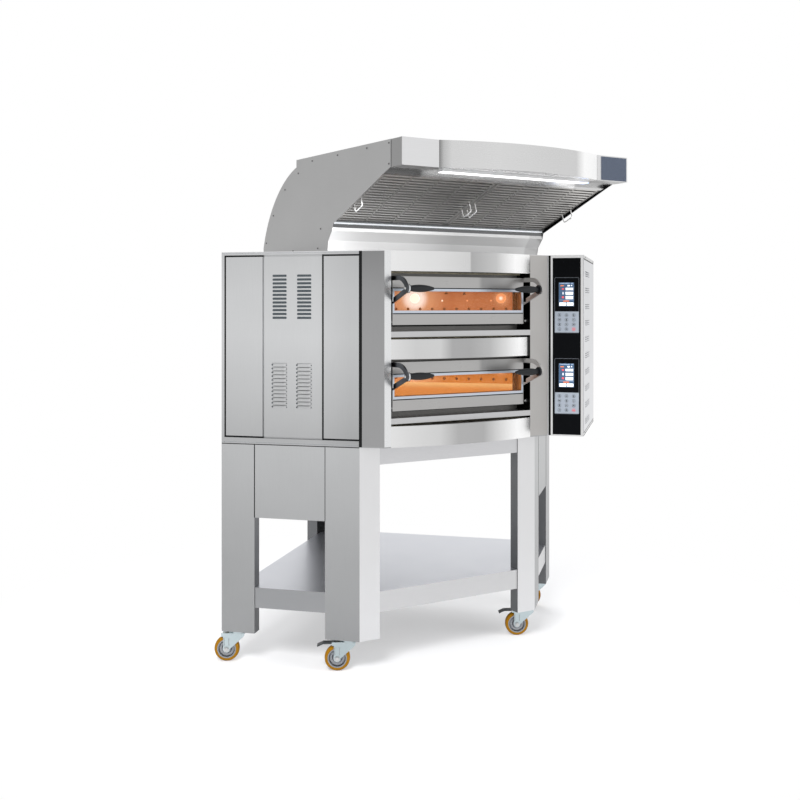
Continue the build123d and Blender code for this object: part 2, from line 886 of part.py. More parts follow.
def build_stand():
    front, rear = leg(front_leg), leg(rear_leg)
    parts["stand_legs"] = group(front, mirrored(front), rear, mirrored(rear), leg(corner_leg))

    rail_x = front_half + leg_set_back - leg_front
    y = leg_set_back + leg_sheet
    low = stand_height - rail_height
    rail = box((-rail_x, rail_x), (y, y + leg_sheet), (low, stand_height))
    for z in (low, stand_height - leg_sheet):
        rail += box((-rail_x, rail_x), (y, y + rail_flange), (z, z + leg_sheet))
    parts["front_rail"] = rail

    apron = channel(left_point, (leg_start + leg_side, side_length - leg_side), apron_height)
    parts["side_aprons"] = group(apron, mirrored(apron))
    rail = channel(rear_point, (leg_side, rear_length - leg_rear_face), rail_height)
    parts["rear_rails"] = group(rail, mirrored(rail))

    inset = leg_sheet + seat_gap
    front_inset = leg_set_back + inset
    shelf_low = shelf_top - shelf_lip
    shelf = prism(body_outline(front_inset, inset, shelf_rear_inset, inset), shelf_low, shelf_top)
    in_lip = inset + shelf_sheet
    inner = body_outline(front_inset + shelf_sheet, in_lip, shelf_rear_inset + shelf_sheet, in_lip)
    shelf -= prism(inner, shelf_low, shelf_top - shelf_sheet)
    for spec in (front_leg, rear_leg):
        notch = prism(leg_path(*spec, grow=seat_gap), 0, stand_height)
        shelf -= notch
        shelf -= mirrored(notch)
    shelf -= prism(leg_path(*corner_leg, grow=seat_gap), 0, stand_height)
    parts["stand_shelf"] = shelf


# Castors: each with its swivel axis, the leg that it stands under, and whether it has a brake.

def swivel(corner, run, side):
    return tuple(corner[i] + run[i] * swivel_along + side[i] * swivel_in for i in (0, 1))


front_swivel = swivel(front_leg[0], (-HALF, HALF), (HALF, HALF))
rear_swivel = swivel(rear_leg[0], (HALF, -HALF), (HALF, HALF))
corner_swivel = (0.0, rear_reach - corner_swivel_along / HALF)
castors = {
    "front_left": (front_swivel, front_leg, True),
    "front_right": ((-front_swivel[0], front_swivel[1]), front_leg, True),
    "rear_left": (rear_swivel, rear_leg, False),
    "rear_right": ((-rear_swivel[0], rear_swivel[1]), rear_leg, False),
    "rear_corner": (corner_swivel, corner_leg, False),
}
race_low = leg_bottom - race_height
crown_top = race_low - seat_gap
crown_low = crown_top - crown_sheet
fork_half = fork_gap / 2 + fork_sheet


def cylinder_up(radius, low, high):
    return Pos(0, 0, (low + high) / 2) * Cylinder(radius, high - low)


def cylinder_across(radius, length, x, z):
    return Pos(x, 0, z) * Rot(90, 0, 0) * Cylinder(radius, length)


def build_plates():
    plates = []
    head_top = crown_low - seat_gap
    for name, (place, spec, _) in castors.items():
        inner = folded(leg_path(*spec), leg_sheet)[5:]
        plate = prism(inner, leg_bottom, leg_bottom + castor_plate)
        if name.endswith("right"):
            plate = mirrored(plate)
        pin = cylinder_up(race_radius, race_low, leg_bottom)
        pin += cylinder_up(kingpin_radius, head_top, race_low)
        pin += cylinder_up(kingpin_head_radius, head_top - kingpin_head, head_top)
        plates.append(plate + Pos(*place) * pin)
    parts["castor_plates"] = group(*plates)


def build_fork(braked):
    """A fork under its swivel axis, trailing along X."""
    crown = cylinder_up(race_radius, crown_low, crown_top)
    crown += box((-crown_front, crown_rear), (-fork_half, fork_half), (crown_low, crown_top))
    crown -= cylinder_up(kingpin_radius + running_fit, crown_low, crown_top)
    crown -= box((pedal_slot, crown_rear), (-fork_gap / 2, fork_gap / 2), (crown_low, crown_top))
    ear = pedal_pivot[1] - pedal_ear
    outline = [
        (-crown_front, crown_top),
        (-crown_front, crown_low - crown_fold),
        (castor_trail - axle_boss, wheel_radius),
        (castor_trail + axle_boss, wheel_radius),
        (castor_trail + axle_boss, ear),
        (crown_rear, ear),
        (crown_rear, crown_top),
    ]
    cheek_face = make_face(Polyline(*outline, close=True))
    cheek_face += Pos(castor_trail, wheel_radius) * Circle(axle_boss)
    cheek_face -= Pos(castor_trail, wheel_radius) * Circle(axle_radius + bore_fit)
    fork = crown
    for y in (-fork_half, fork_gap / 2):
        fork += Pos(0, y, 0) * extrude(Plane.XZ * cheek_face, amount=fork_sheet, dir=(0, 1, 0))
    if braked:
        fork += cylinder_across(pedal_pin_radius, fork_gap + fork_sheet, *pedal_pivot)
    axle = cylinder_across(axle_radius, 2 * fork_half, castor_trail, wheel_radius)
    for side in (-1, 1):
        head = cylinder_across(axle_head_radius, axle_head, castor_trail, wheel_radius)
        axle += Pos(0, side * (fork_half + axle_head / 2), 0) * head
    return group(fork, axle)


def build_wheel():
    """A wheel on the axle of a fork trailing along X."""
    rim = wheel_radius - tyre_thickness
    lie = Pos(castor_trail, 0, wheel_radius) * Rot(90, 0, 0)
    solid = Cylinder(wheel_radius, wheel_width)
    tyre = fillet(solid.edges().filter_by(GeomType.CIRCLE), tyre_round) - Cylinder(rim, wheel_width)
    hub = Cylinder(rim, wheel_width) - Cylinder(rim - hub_rim, wheel_width)
    hub += Cylinder(rim - hub_rim / 2, web_thickness)
    hub += Cylinder(hub_radius, hub_width)
    hub -= Cylinder(axle_radius + running_fit, hub_width)
    return group(lie * tyre, lie * hub)


def build_pedal():
    """A brake pedal on its pin, between the cheeks of a fork."""
    path = [(x, z - pedal_sheet / 2) for x, z in (pedal_pivot, pedal_knee, pedal_tip)]
    blade = extrude(Plane.XZ * folded_face(path, pedal_sheet), amount=pedal_width, dir=(0, 1, 0))
    pedal = Pos(0, -pedal_width / 2, 0) * blade
    pedal += cylinder_across(pedal_sleeve_radius, pedal_width, *pedal_pivot)
    return pedal - cylinder_across(pedal_pin_radius + running_fit, pedal_width, *pedal_pivot)


def build_castors():
    build_plates()
    wheel, pedal = build_wheel(), build_pedal()
    forks = {braked: build_fork(braked) for braked in (True, False)}
    for name, (place, _, braked) in castors.items():
        seat = Pos(*place) * Rot(0, 0, castor_heading)
        parts[f"castor_{name}_fork"] = seat * forks[braked]
        parts[f"castor_{name}_wheel"] = seat * wheel
        if braked:
            parts[f"brake_pedal_{name}"] = seat * pedal


# Hood, drawn in Y and in height above the roof.

def filter_point(along, out):
    """A point beside the filters: along them from their low end, and out below their face."""
    y = filter_low[0] - along * filter_run / filter_length - out * filter_rise / filter_length
    z = filter_low[1] + along * filter_rise / filter_length - out * filter_run / filter_length
    return (y, z)


def hood_profile(inset):
    """The hood's side outline, with its top and back drawn in by a distance."""
    front = hood_front + inset
    top_y, top_z = hood_top_rear
    shoulder = (top_y - inset, top_z - hood_step)
    back = hood_back - inset
    step_foot = (shoulder[0], shoulder[1] - inset)
    middle = (hood_back_middle[0] - inset * HALF, hood_back_middle[1] - inset * HALF)
    return front, (top_y - inset, top_z - inset), step_foot, middle, (back, hood_back_foot), (back, 0.0)


def vec(point):
    return Vector(point[0], point[1])


def hood_face(inset, underside):
    """The hood seen from the side, closed by an underside path from front to foot."""
    front, top, step_foot, middle, back, foot = hood_profile(inset)
    edges = [
        Edge.make_line(vec((front, hood_high - inset)), vec(top)),
        Edge.make_line(vec(top), vec(step_foot)),
        Edge.make_three_point_arc(vec(step_foot), vec(middle), vec(back)),
        Edge.make_line(vec(back), vec(foot)),
    ]
    corners = [foot] + underside[::-1] + [(front, hood_high - inset)]
    for a, b in zip(corners, corners[1:]):
        edges.append(Edge.make_line(vec(a), vec(b)))
    return outline_face(*edges)


def build_hood():
    lift = Pos(0, 0, roof)
    straight = (-hood_inner, hood_inner)
    corner_x = hood_half - hood_corner_width
    cheek_front = hood_front + hood_corner_return

    whole = hood_face(0.0, [(hood_front, 0.0)])
    hollow = hood_face(sheet, [(hood_front + sheet, 0.0)])
    shell = along_x(whole, straight) - along_x(hollow, straight)
    shell -= box(straight, (hood_front, hood_front + sheet), (0, hood_high + sheet))
    spigot_hole = Pos(0, fan_place, hood_high) * Cylinder(spigot_radius - sheet, hood_high)
    parts["hood_top_panel"] = lift * (shell - spigot_hole)

    set_back = [(y - splash_set_back, z) for y, z in (splash_brow, splash_bend, (splash_foot, 0.0))]
    under = [(cheek_front, cheek_front_low), cheek_knee, filter_point(0.0, filter_ledge)] + set_back
    cheek = along_x(hood_face(0.0, [(hood_front, cheek_front_low)] + under), (hood_inner, hood_half))
    cheek -= box((hood_inner, hood_half), (hood_front, cheek_front), (0, 2 * hood_high))
    parts["hood_side_panels"] = group(lift * cheek, lift * mirrored(cheek))

    path = [
        (corner_x, hood_front),
        (hood_half, hood_front),
        (hood_half, cheek_front),
    ]
    cover = prism(folded(path, sheet), hood_low, hood_high)
    cover += box((corner_x, hood_inner), (hood_front + sheet, cheek_front), (hood_low, hood_low + sheet))
    parts["hood_corner_covers"] = group(lift * cover, lift * mirrored(cover))

    fascia_y = (hood_front, hood_front + sheet)
    fascia = bowed_tray((-corner_x, corner_x), fascia_y, hood_bow, (hood_low, hood_high))
    fascia += box((-corner_x, corner_x), (hood_front + sheet, cheek_front), (hood_low, hood_low + sheet))
    lip_low = filter_point(filter_length - filter_ledge, seat_gap)
    lip_high = filter_point(filter_length + seat_gap + sheet, seat_gap)
    shelf_z = hood_low + sheet
    lip = folded_face([lip_low, lip_high, (lip_high[0], shelf_z), (cheek_front, shelf_z)], sheet)
    fascia += along_x(lip, straight)
    parts["hood_fascia"] = lift * fascia

    ledge_high = filter_point(filter_ledge, seat_gap)
    ledge_low = filter_point(-filter_ledge / 2, seat_gap)
    splash = folded_face([(splash_foot, 0.0), splash_bend, splash_brow, ledge_low, ledge_high], sheet)
    below = box(straight, (0, hood_back), (-hood_low, 0))
    parts["splash_panel"] = lift * (along_x(splash, straight) - below)

    light_y = (light_front, light_front + light_depth)
    housing_low = hood_low - light_height + light_lens
    housing = box((-light_half, light_half), light_y, (housing_low, hood_low))
    lens_low = hood_low - light_height
    lens = box((-light_half, light_half), light_y, (lens_low, housing_low))
    parts["light_bar"] = lift * group(housing, lens)

    build_filters(lift)
    build_fan(lift, whole)


def build_filters(lift):
    width = hood_inner - filter_side_gap - filter_split / 2
    centre = filter_split / 2 + width / 2
    slots = GridLocations(filter_slot_pitch_x, filter_slot_pitch_y, filter_slot_columns, filter_slot_rows)
    face = Rectangle(width, filter_length)
    slotted = face - slots * Rectangle(filter_slot_length, filter_slot_height)
    other = GridLocations(filter_slot_pitch_x, filter_slot_pitch_y, filter_slot_columns, filter_slot_rows - 1)
    baffled = face - other * Rectangle(filter_slot_length, filter_slot_height)
    rim = face - Rectangle(width - 2 * sheet, filter_length - 2 * sheet)
    body = extrude(slotted, amount=-sheet)
    body += extrude(rim, amount=-filter_depth)
    body += Pos(0, 0, -filter_depth + sheet) * extrude(baffled, amount=-sheet)
    reach = handle_wire_length / 2 - handle_wire_radius
    y = handle_wire_place - filter_length / 2
    sink = -sheet / 2
    for x in (-width / 2 + handle_wire_inset, width / 2 - handle_wire_inset):
        path = FilletPolyline(
            (x, y - reach, sink),
            (x, y - reach, handle_wire_drop),
            (x, y + reach, handle_wire_drop),
            (x, y + reach, sink),
            radius=handle_wire_bend,
        )
        body += sweep(Pos(x, y - reach, sink) * Circle(handle_wire_radius), path=path)
    low = (0, filter_low[0], filter_low[1])
    plane = Plane(origin=low, x_dir=(1, 0, 0), z_dir=(0, -filter_rise, -filter_run))
    placed = [plane * (Pos(hand * centre, filter_length / 2, 0) * body) for hand in (-1, 1)]
    parts["baffle_filters"] = lift * group(*placed)


def build_fan(lift, whole):
    half = fan_deck_width / 2
    deck_top = fan_deck + fan_deck_sheet
    bridge = box((-hood_inner, hood_inner), (fan_place - half, fan_place + half), (fan_deck, deck_top))
    for y in (fan_place - half, fan_place + half - fan_deck_sheet):
        flange = (fan_deck, fan_deck + fan_deck_flange)
        bridge += box((-hood_inner, hood_inner), (y, y + fan_deck_sheet), flange)
    place = Pos(0, fan_place, 0)
    narrow = min(motor_radius, half - fan_deck_sheet - seat_gap)
    motor = cylinder_up(narrow, deck_top, fan_deck + fan_deck_flange)
    motor += cylinder_up(motor_radius, fan_deck + fan_deck_flange, deck_top + motor_height)
    bore = cylinder_up(shaft_radius + running_fit, fan_deck, deck_top + shaft_in_motor)
    parts["fan_motor"] = lift * group(bridge - place * bore, place * (motor - bore))

    top = fan_deck - impeller_gap
    low = top - impeller_height
    impeller = cylinder_up(impeller_hub_radius, low, top)
    impeller += cylinder_up(shaft_radius, top, deck_top + shaft_in_motor - seat_gap)
    impeller += cylinder_up(impeller_radius, low, low + blade_sheet)
    blade = box((0, impeller_radius), (-blade_sheet / 2, blade_sheet / 2), (low, top))
    for i in range(blade_count):
        impeller += Rot(0, 0, i * 360 / blade_count) * blade
    parts["fan_impeller"] = lift * place * impeller

    slope = (hood_top_rear[1] - hood_high) / (hood_top_rear[0] - hood_front)
    crown = hood_high + slope * (fan_place - hood_front)
    tube_top = crown + spigot_flange + spigot_height
    spigot = cylinder_up(spigot_radius, hood_high, tube_top)
    spigot += cylinder_up(spigot_flange_radius, hood_high, crown + spigot_flange)
    spigot -= cylinder_up(spigot_radius - sheet, 0, tube_top)
    parts["exhaust_spigot"] = lift * (place * spigot - along_x(whole, (-hood_half, hood_half)))


build_shell()
build_left_side()
hinge_pins = []
for deck_name, deck_z in decks.items():
    build_chamber(deck_name, deck_z)
    hinge_pins += build_door(deck_name, deck_z)
parts["door_hinge_pins"] = group(*hinge_pins)
build_chamber_fittings()
build_control_box()
build_stand()
build_castors()
build_hood()

# The origin moves to the middle of the footprint, at floor level.
bounds = group(*parts.values()).bounding_box()
shift = Vector(-(bounds.min.X + bounds.max.X) / 2, -(bounds.min.Y + bounds.max.Y) / 2, -bounds.min.Z)

os.makedirs("parts", exist_ok=True)
for node, shape in parts.items():
    export_step(Pos(shift) * shape, f"parts/{node}.step")
print(len(parts), "parts, shift", round(shift.X, 3), round(shift.Y, 3), round(shift.Z, 3))
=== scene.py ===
import json
import math

import bmesh
import bpy
from mathutils import Matrix, Vector


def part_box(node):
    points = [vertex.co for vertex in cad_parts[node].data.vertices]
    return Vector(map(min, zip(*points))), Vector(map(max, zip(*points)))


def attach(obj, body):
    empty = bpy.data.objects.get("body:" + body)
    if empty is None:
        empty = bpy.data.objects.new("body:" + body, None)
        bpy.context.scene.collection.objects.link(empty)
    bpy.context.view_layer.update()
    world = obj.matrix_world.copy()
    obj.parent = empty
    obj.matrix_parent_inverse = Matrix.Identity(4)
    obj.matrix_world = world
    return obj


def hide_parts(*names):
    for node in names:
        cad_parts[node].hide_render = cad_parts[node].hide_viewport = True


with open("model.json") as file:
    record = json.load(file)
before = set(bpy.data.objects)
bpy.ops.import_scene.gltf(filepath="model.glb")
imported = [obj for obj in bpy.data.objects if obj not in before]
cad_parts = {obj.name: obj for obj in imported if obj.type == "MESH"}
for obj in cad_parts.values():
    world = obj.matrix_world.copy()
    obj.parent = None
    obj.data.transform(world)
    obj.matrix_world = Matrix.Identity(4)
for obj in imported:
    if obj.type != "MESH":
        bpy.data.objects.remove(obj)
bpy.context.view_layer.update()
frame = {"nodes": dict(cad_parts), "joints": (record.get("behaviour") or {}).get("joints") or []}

bl_info = {
    "name": "Deck pizza oven",
    "version": (1, 0, 0),
    "blender": (4, 5, 0),
    "location": "View3D > Sidebar > Oven",
    "description": "Finishes and fittings of a two-deck electric pizza oven on a wheeled stand",
    "category": "Object",
}

# Places are in millimetres from the middle of the body's front, and SHIFT takes them to the frame.
MM = 0.001
HALF = math.sqrt(0.5)
FRONT_HALF = 355.0
ROOF = 1634.0
STAND = 874.0
STAND_MIDDLE = 500.0
SIDE_LENGTH = 672.0
DECKS = {"lower": 1011.0, "upper": 1346.0}
OPENING = (-325.0, 347.0)
DOOR = (-306.0, 328.0)
CONTROL_FRONT = 83.0 * HALF
CONTROL_IN = CONTROL_FRONT + 14.0
CONTROL_OUT = CONTROL_IN + 136.0
# Each deck has a screen and a keypad, this far below the one above and below the roof.
CONTROL_PITCH = 340.0
SCREEN_DROP = 115.0
KEYPAD_DROP = 237.0
REAR_REACH = FRONT_HALF + 2 * SIDE_LENGTH * HALF
CHAMBER_REACH = REAR_REACH - 92.0 / HALF
LAMP_PLACES = ((442.0, 44.0, 190.0), (864.0, 12.0, 48.0))
LAMP_UP = 111.0
HOOD_FRONT = -400.0
HOOD_SIDE = 515.0
FASCIA_HALF = 364.0
# The filters: the foot of their face, how far it runs forwards and rises, and each one's middle.
FILTER_FOOT = (127.0, ROOF + 113.0)
FILTER_SLOPE = (393.0, 146.0)
FILTER_MIDDLE = 256.0
CASTORS = ("front_left", "front_right", "rear_left", "rear_right", "rear_corner")

# The middle fascia ends this far behind the body's front, and is centred on the opening.
FASCIA_BACK = 68.0
fascia_low, fascia_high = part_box("fascia_middle")
SHIFT = Vector((
    (fascia_low.x + fascia_high.x) / 2 - sum(OPENING) / 2 * MM,
    fascia_high.y - FASCIA_BACK * MM,
    0.0,
))


def at(x, y, z):
    return Vector((x, y, z)) * MM + SHIFT


def face_frame(x, y, z, into=(0.0, 1.0)):
    """A face seen from outside: x to the right, y into it, z up, in millimetres."""
    a, b = into
    turn = Matrix(((b, a, 0, 0), (-a, b, 0, 0), (0, 0, 1, 0), (0, 0, 0, 1)))
    return Matrix.Translation(at(x, y, z)) @ Matrix.Scale(MM, 4) @ turn


def left_point(along, out=0.0):
    return (-FRONT_HALF - (along + out) * HALF, (along - out) * HALF)


def right_point(along, out=0.0):
    x, y = left_point(along, out)
    return (-x, y)


def left_frame(along=0.0):
    return face_frame(*left_point(along), 0.0, (HALF, HALF))


def control_frame(side, z):
    """The control box's front, from its inner edge."""
    return face_frame(*right_point(CONTROL_FRONT, CONTROL_IN + side), z, (HALF, HALF))


def cover_frame(along):
    """The control box's side cover, from a place along it backwards."""
    return face_frame(*right_point(along, CONTROL_OUT), 0.0, (-HALF, HALF))


def chamber_wall(deck):
    """The right rear wall of a chamber, seen from inside, along it from the rear corner."""
    return face_frame(0.0, CHAMBER_REACH, deck, (HALF, HALF))


def right_frame():
    """The right wall, from its front end backwards."""
    return face_frame(*right_point(0.0), 0.0, (-HALF, HALF))


def tone(red, green, blue):
    """A display colour as the linear one that a shader takes."""
    linear = [((c / 255 + 0.055) / 1.055) ** 2.4 if c > 10 else c / 255 / 12.92 for c in (red, green, blue)]
    return (*linear, 1.0)


# Shader maths

def arithmetic(operation, swapped=False):
    """One of Value's operators, as a Math node; some reflected ones swap their sides."""
    def apply(value, other):
        return value.maths(operation, *((other, value) if swapped else (value, other)))
    return apply


class Value:
    """An output of a node, which takes arithmetic."""

    __add__ = __radd__ = arithmetic("ADD")
    __sub__ = arithmetic("SUBTRACT")
    __rsub__ = arithmetic("SUBTRACT", swapped=True)
    __mul__ = __rmul__ = arithmetic("MULTIPLY")
    __truediv__ = arithmetic("DIVIDE")
    __gt__ = arithmetic("GREATER_THAN")
    __lt__ = arithmetic("LESS_THAN")

    def __init__(self, shade, socket):
        self.shade = shade
        self.socket = socket

    def maths(self, operation, *values):
        return self.shade.node("ShaderNodeMath", {"operation": operation}, dict(enumerate(values)))

    def size(self):
        return self.maths("ABSOLUTE", self)

    def between(self, low, high):
        return (self > low) * (self < high)

    def ramp(self, low, high):
        """0 below low, 1 above high, and smooth between."""
        sockets = {"Value": self, "From Min": low, "From Max": high}
        return self.shade.node("ShaderNodeMapRange", {"interpolation_type": "SMOOTHSTEP"}, sockets)


class Shade:
    """The node tree of one material, or of the world."""

    def __init__(self, owner):
        owner.use_nodes = True
        self.owner = owner
        self.tree = owner.node_tree
        self.tree.nodes.clear()

    def node(self, kind, settings=None, sockets=None, out=0):
        made = self.tree.nodes.new(kind)
        for key, value in (settings or {}).items():
            if key == "stops":
                elements = made.color_ramp.elements
                while len(elements) < len(value):
                    elements.new(0.5)
                for element, (place, colour) in zip(elements, value):
                    element.position = place
                    element.color = colour
            else:
                setattr(made, key, value)
        for key, value in (sockets or {}).items():
            if isinstance(value, Value):
                self.tree.links.new(value.socket, made.inputs[key])
            else:
                made.inputs[key].default_value = value
        if not made.outputs:
            return None
        if isinstance(out, tuple):
            return [Value(self, made.outputs[o]) for o in out]
        return Value(self, made.outputs[out])

    def place(self):
        return self.node("ShaderNodeTexCoord", out="Object")

    def vector(self, operation, first, second):
        """Vector maths; only a scale takes a number second."""
        other = "Scale" if operation == "SCALE" else 1
        return self.node("ShaderNodeVectorMath", {"operation": operation}, {0: first, other: second})

    def apart(self, vector):
        return self.node("ShaderNodeSeparateXYZ", sockets={0: vector}, out=(0, 1, 2))

    def axes(self):
        """X, Y and Z in the millimetres that places are given in."""
        return self.apart(self.vector("SCALE", self.vector("SUBTRACT", self.place(), SHIFT), 1 / MM))

    def noise(self, scale, detail=2.0, stretch=(1.0, 1.0, 1.0)):
        turned = self.vector("MULTIPLY", self.place(), Vector(stretch))
        sockets = {"Vector": turned, "Scale": scale, "Detail": detail, "Roughness": 0.6}
        return self.node("ShaderNodeTexNoise", sockets=sockets)

    def grade(self, colour, value, *stops):
        """A colour times greys that run along a value: pairs of a value and a display grey."""
        low, high = stops[0][0], stops[-1][0]
        share = (value - low) / (high - low)
        run = [((place - low) / (high - low), tone(grey, grey, grey)) for place, grey in stops]
        return self.vector("MULTIPLY", colour, self.node("ShaderNodeValToRGB", {"stops": run}, {0: share}))

    def normal(self):
        return self.apart(self.node("ShaderNodeNewGeometry", out="Normal"))

    def mix(self, factor, first, second):
        """A blend of colours; 6 and 7 are the node's colour inputs, and 2 its colour output."""
        sockets = {"Factor": factor, 6: first, 7: second}
        return self.node("ShaderNodeMix", {"data_type": "RGBA"}, sockets, out=2)

    def shaded(self, colour, amount):
        return self.vector("SCALE", colour if isinstance(colour, Value) else colour[:3], amount)

    def bump(self, height, strength, distance):
        sockets = {"Height": height, "Strength": strength, "Distance": distance}
        return self.node("ShaderNodeBump", sockets=sockets)

    def surface(self, **sockets):
        named = {
            key.replace("_", " ").title().replace("Ior", "IOR"): value for key, value in sockets.items()
        }
        shader = self.node("ShaderNodeBsdfPrincipled", sockets=named)
        self.node("ShaderNodeOutputMaterial", sockets={"Surface": shader})
        return self.owner


def new_shade(name):
    return Shade(bpy.data.materials.new(name))


UPRIGHT = (1.0, 1.0, 0.02)
LEVEL = (0.02, 0.02, 1.0)
FINISHES = {}


def steel(name, colour, roughness=0.36, grain=UPRIGHT, streaks=0.10, clouds=0.10, dress=None, glow=0.0):
    """Brushed sheet: fine streaks along the grain, and slow clouds of handling."""
    shade = new_shade(name)
    streak = shade.noise(520.0, 3.0, grain)
    cloud = shade.noise(2.6, 2.0)
    smudge = shade.noise(11.0, 4.0)
    light = 1.0 + (streak - 0.5) * streaks + (cloud - 0.5) * clouds
    base = shade.shaded(colour, light)
    rough = roughness + (streak - 0.5) * 0.10 + (smudge - 0.5) * 0.10
    metal = 1.0
    if dress is not None:
        base, rough, metal = dress(shade, base, rough)
    normal = shade.bump(streak, 0.06, 0.0004)
    # A glow makes the sheet give off light of its own colour: painted light.
    more = {"emission_color": base, "emission_strength": glow} if glow else {}
    return shade.surface(base_color=base, roughness=rough, metallic=metal, normal=normal, **more)


def moulded(name, colour, roughness, fleck=0.10, specular=0.5, pebble=900.0, strength=0.08, metal=0.0):
    """Moulded plastic, rubber or lacquer with a fine pebble."""
    shade = new_shade(name)
    fine = shade.noise(pebble, 2.0)
    broad = shade.noise(9.0, 3.0)
    base = shade.shaded(colour, 1.0 + (fine - 0.5) * fleck + (broad - 0.5) * fleck)
    rough = roughness + (broad - 0.5) * 0.14
    normal = shade.bump(fine, strength, 0.0003)
    return shade.surface(
        base_color=base, roughness=rough, metallic=metal, normal=normal, specular_ior_level=specular,
    )


def side_painted_light(shade, base, rough):
    """Side panels are painted lightest at mid height and duller towards the foot and the front: painted
    highlight and shade from the studio's light.
    """
    y, z = shade.axes()[1:]
    base = shade.grade(base, z, (STAND, 212), (1050, 232), (1300, 252), (1480, 250), (ROOF, 243))
    return shade.grade(base, y, (100, 240), (175, 250), (190, 255)), rough, 1.0


def column_painted_light(shade, base, rough):
    """The left column's front strip is painted brighter than its side, and the column darker towards the
    roof: painted highlight and shade.
    """
    x, y, z = shade.axes()
    front = x > -FRONT_HALF + 0.5
    base = shade.grade(base, z, (STAND, 250), (1300, 252), (1480, 246), (ROOF, 226))
    return shade.mix(front, base, tone(226, 227, 228)), rough - front * 0.08, 1.0


def right_column_painted_shade(shade, base, rough):
    """The post's side inside the door opening stays in the dark: it is painted near black as painted shade.
    """
    across = shade.normal()[0]
    return shade.mix(across < -0.6, base, tone(26, 26, 27)), rough, 1.0


def leg_painted_light(shade, base, rough):
    """A leg's front face is painted brighter than its side face, faces turned in to the stand's middle
    darker, and all duller low down: painted highlight and shade.
    """
    across, back = shade.normal()[:2]
    x, y, z = shade.axes()
    base = shade.grade(base, z, (120, 206), (420, 224), (640, 240), (STAND, 254))
    # Painted shade on the faces turned in towards the middle of the stand.
    inside = (x * across + (y - STAND_MIDDLE) * back) < 0.0
    base = shade.mix(inside, base, tone(120, 121, 123))
    # Painted highlight on the front faces.
    return shade.mix(back < -0.9, base, tone(222, 222, 223)), rough, 1.0


def shelf_painted_light(shade, base, rough):
    """The shelf's top is painted paler and bluer than its front edge, and its left edge the dullest: painted
    highlight and shade by how each face meets the light.
    """
    across, back, up = shade.normal()
    base = shade.mix(across < -0.5, base, tone(156, 157, 159))
    return shade.mix(up > 0.9, base, tone(246, 248, 254)), rough, 1.0


def corner_painted_shade(shade, base, rough):
    """The side of a hood corner cover is painted duller than its front: painted shade."""
    y = shade.axes()[1]
    return shade.mix(y > HOOD_FRONT + 2.1, base, tone(172, 172, 172)), rough, 1.0


def hood_painted_shade(shade, base, rough):
    """The hood's side panels are painted dark on the inside: painted shade."""
    across = shade.normal()[0]
    x = shade.axes()[0]
    inside = (x * across < 0.0) * (across * across > 0.5)
    return shade.mix(inside, base, tone(24, 24, 25)), rough, 1.0


def splash_painted_light(shade, base, rough):
    """A bright edge along the filters, a dark fold under it, and a light panel that dulls to the right:
    painted shade in the fold and painted reflections across the panel.
    """
    x, y, z = shade.axes()
    up = z - ROOF
    front = y < 135.0
    base = shade.grade(base, x, (-515, 250), (-150, 240), (60, 204), (440, 204), (446, 186), (515, 180))
    # Painted shade in the fold under the filters.
    return shade.mix(front * (up > 90.0), base, tone(96, 97, 98)), rough, 0.5


def bow_painted_reflection(*stops):
    """A bowed panel: painted reflections, as greys across the opening from its left end to its right one."""
    def dress(shade, base, rough):
        x = shade.axes()[0]
        across = (x - OPENING[0]) / (OPENING[1] - OPENING[0])
        return shade.grade(base, across, *stops), rough, 1.0
    return dress


def hood_front_painted_light(shade, base, rough):
    """The bowed hood fascia: a painted shadow at its left end, then level, with a painted bright reflection
    near its right end.
    """
    x = shade.axes()[0]
    base = shade.grade(
        base, (x + FASCIA_HALF) / (2 * FASCIA_HALF), (0.0, 128), (0.022, 190), (0.06, 212), (0.3, 216),
        (0.62, 210), (0.8, 208), (0.87, 254), (0.985, 254), (1.0, 206),
    )
    return base, rough, 1.0


def door_dress(deck):
    """The groove round the window is painted dark as painted shade, the trim ring in it is bright, and a
    painted dark reflection dulls the top rail.
    """
    def dress(shade, base, rough):
        x, y, z = shade.axes()
        height = z - deck
        line = (height.between(41.5, 46.2) + height.between(141.8, 146.5)) * (y > 24.0)
        trim = height.between(46.0, 142.0) * x.between(DOOR[0] + 1.5, DOOR[1] - 1.5)
        # A painted dark reflection on the top rail.
        dark_reflection = (height > 146.5) * (1.0 - x.ramp(150.0, 330.0)) * x.ramp(96.0, 122.0)
        base = shade.mix(dark_reflection * 0.7, base, tone(138, 138, 138))
        base = shade.mix(trim, base, tone(196, 203, 213))
        # Painted shade in the groove.
        base = shade.mix(line, base, tone(46, 47, 49))
        return shade.mix(y > 58.0, base, tone(132, 118, 104)), rough, 1.0
    return dress


def filter_dress(shade, base, rough):
    """The wire pulls stand out below the filters' faces, and are brighter; the depths behind the faces take
    painted shade.
    """
    x, y, z = shade.axes()
    run, rise = FILTER_SLOPE
    out = ((FILTER_FOOT[0] - y) * rise + (FILTER_FOOT[1] - z) * run) / math.hypot(run, rise)
    wire = out > 1.2
    away = (x.size() - FILTER_MIDDLE).size()
    land = (away < 6.0) + away.between(116.0, 128.0) + (away > 238.0)
    base = shade.mix(land, base, tone(176, 174, 171))
    # Behind the filters' faces the slots are painted darker: painted shade.
    base = shade.mix(out < -4.0, base, tone(182, 180, 177))
    return shade.mix(wire, base, tone(244, 244, 243)), rough - wire * 0.14, 1.0 - wire * 0.6


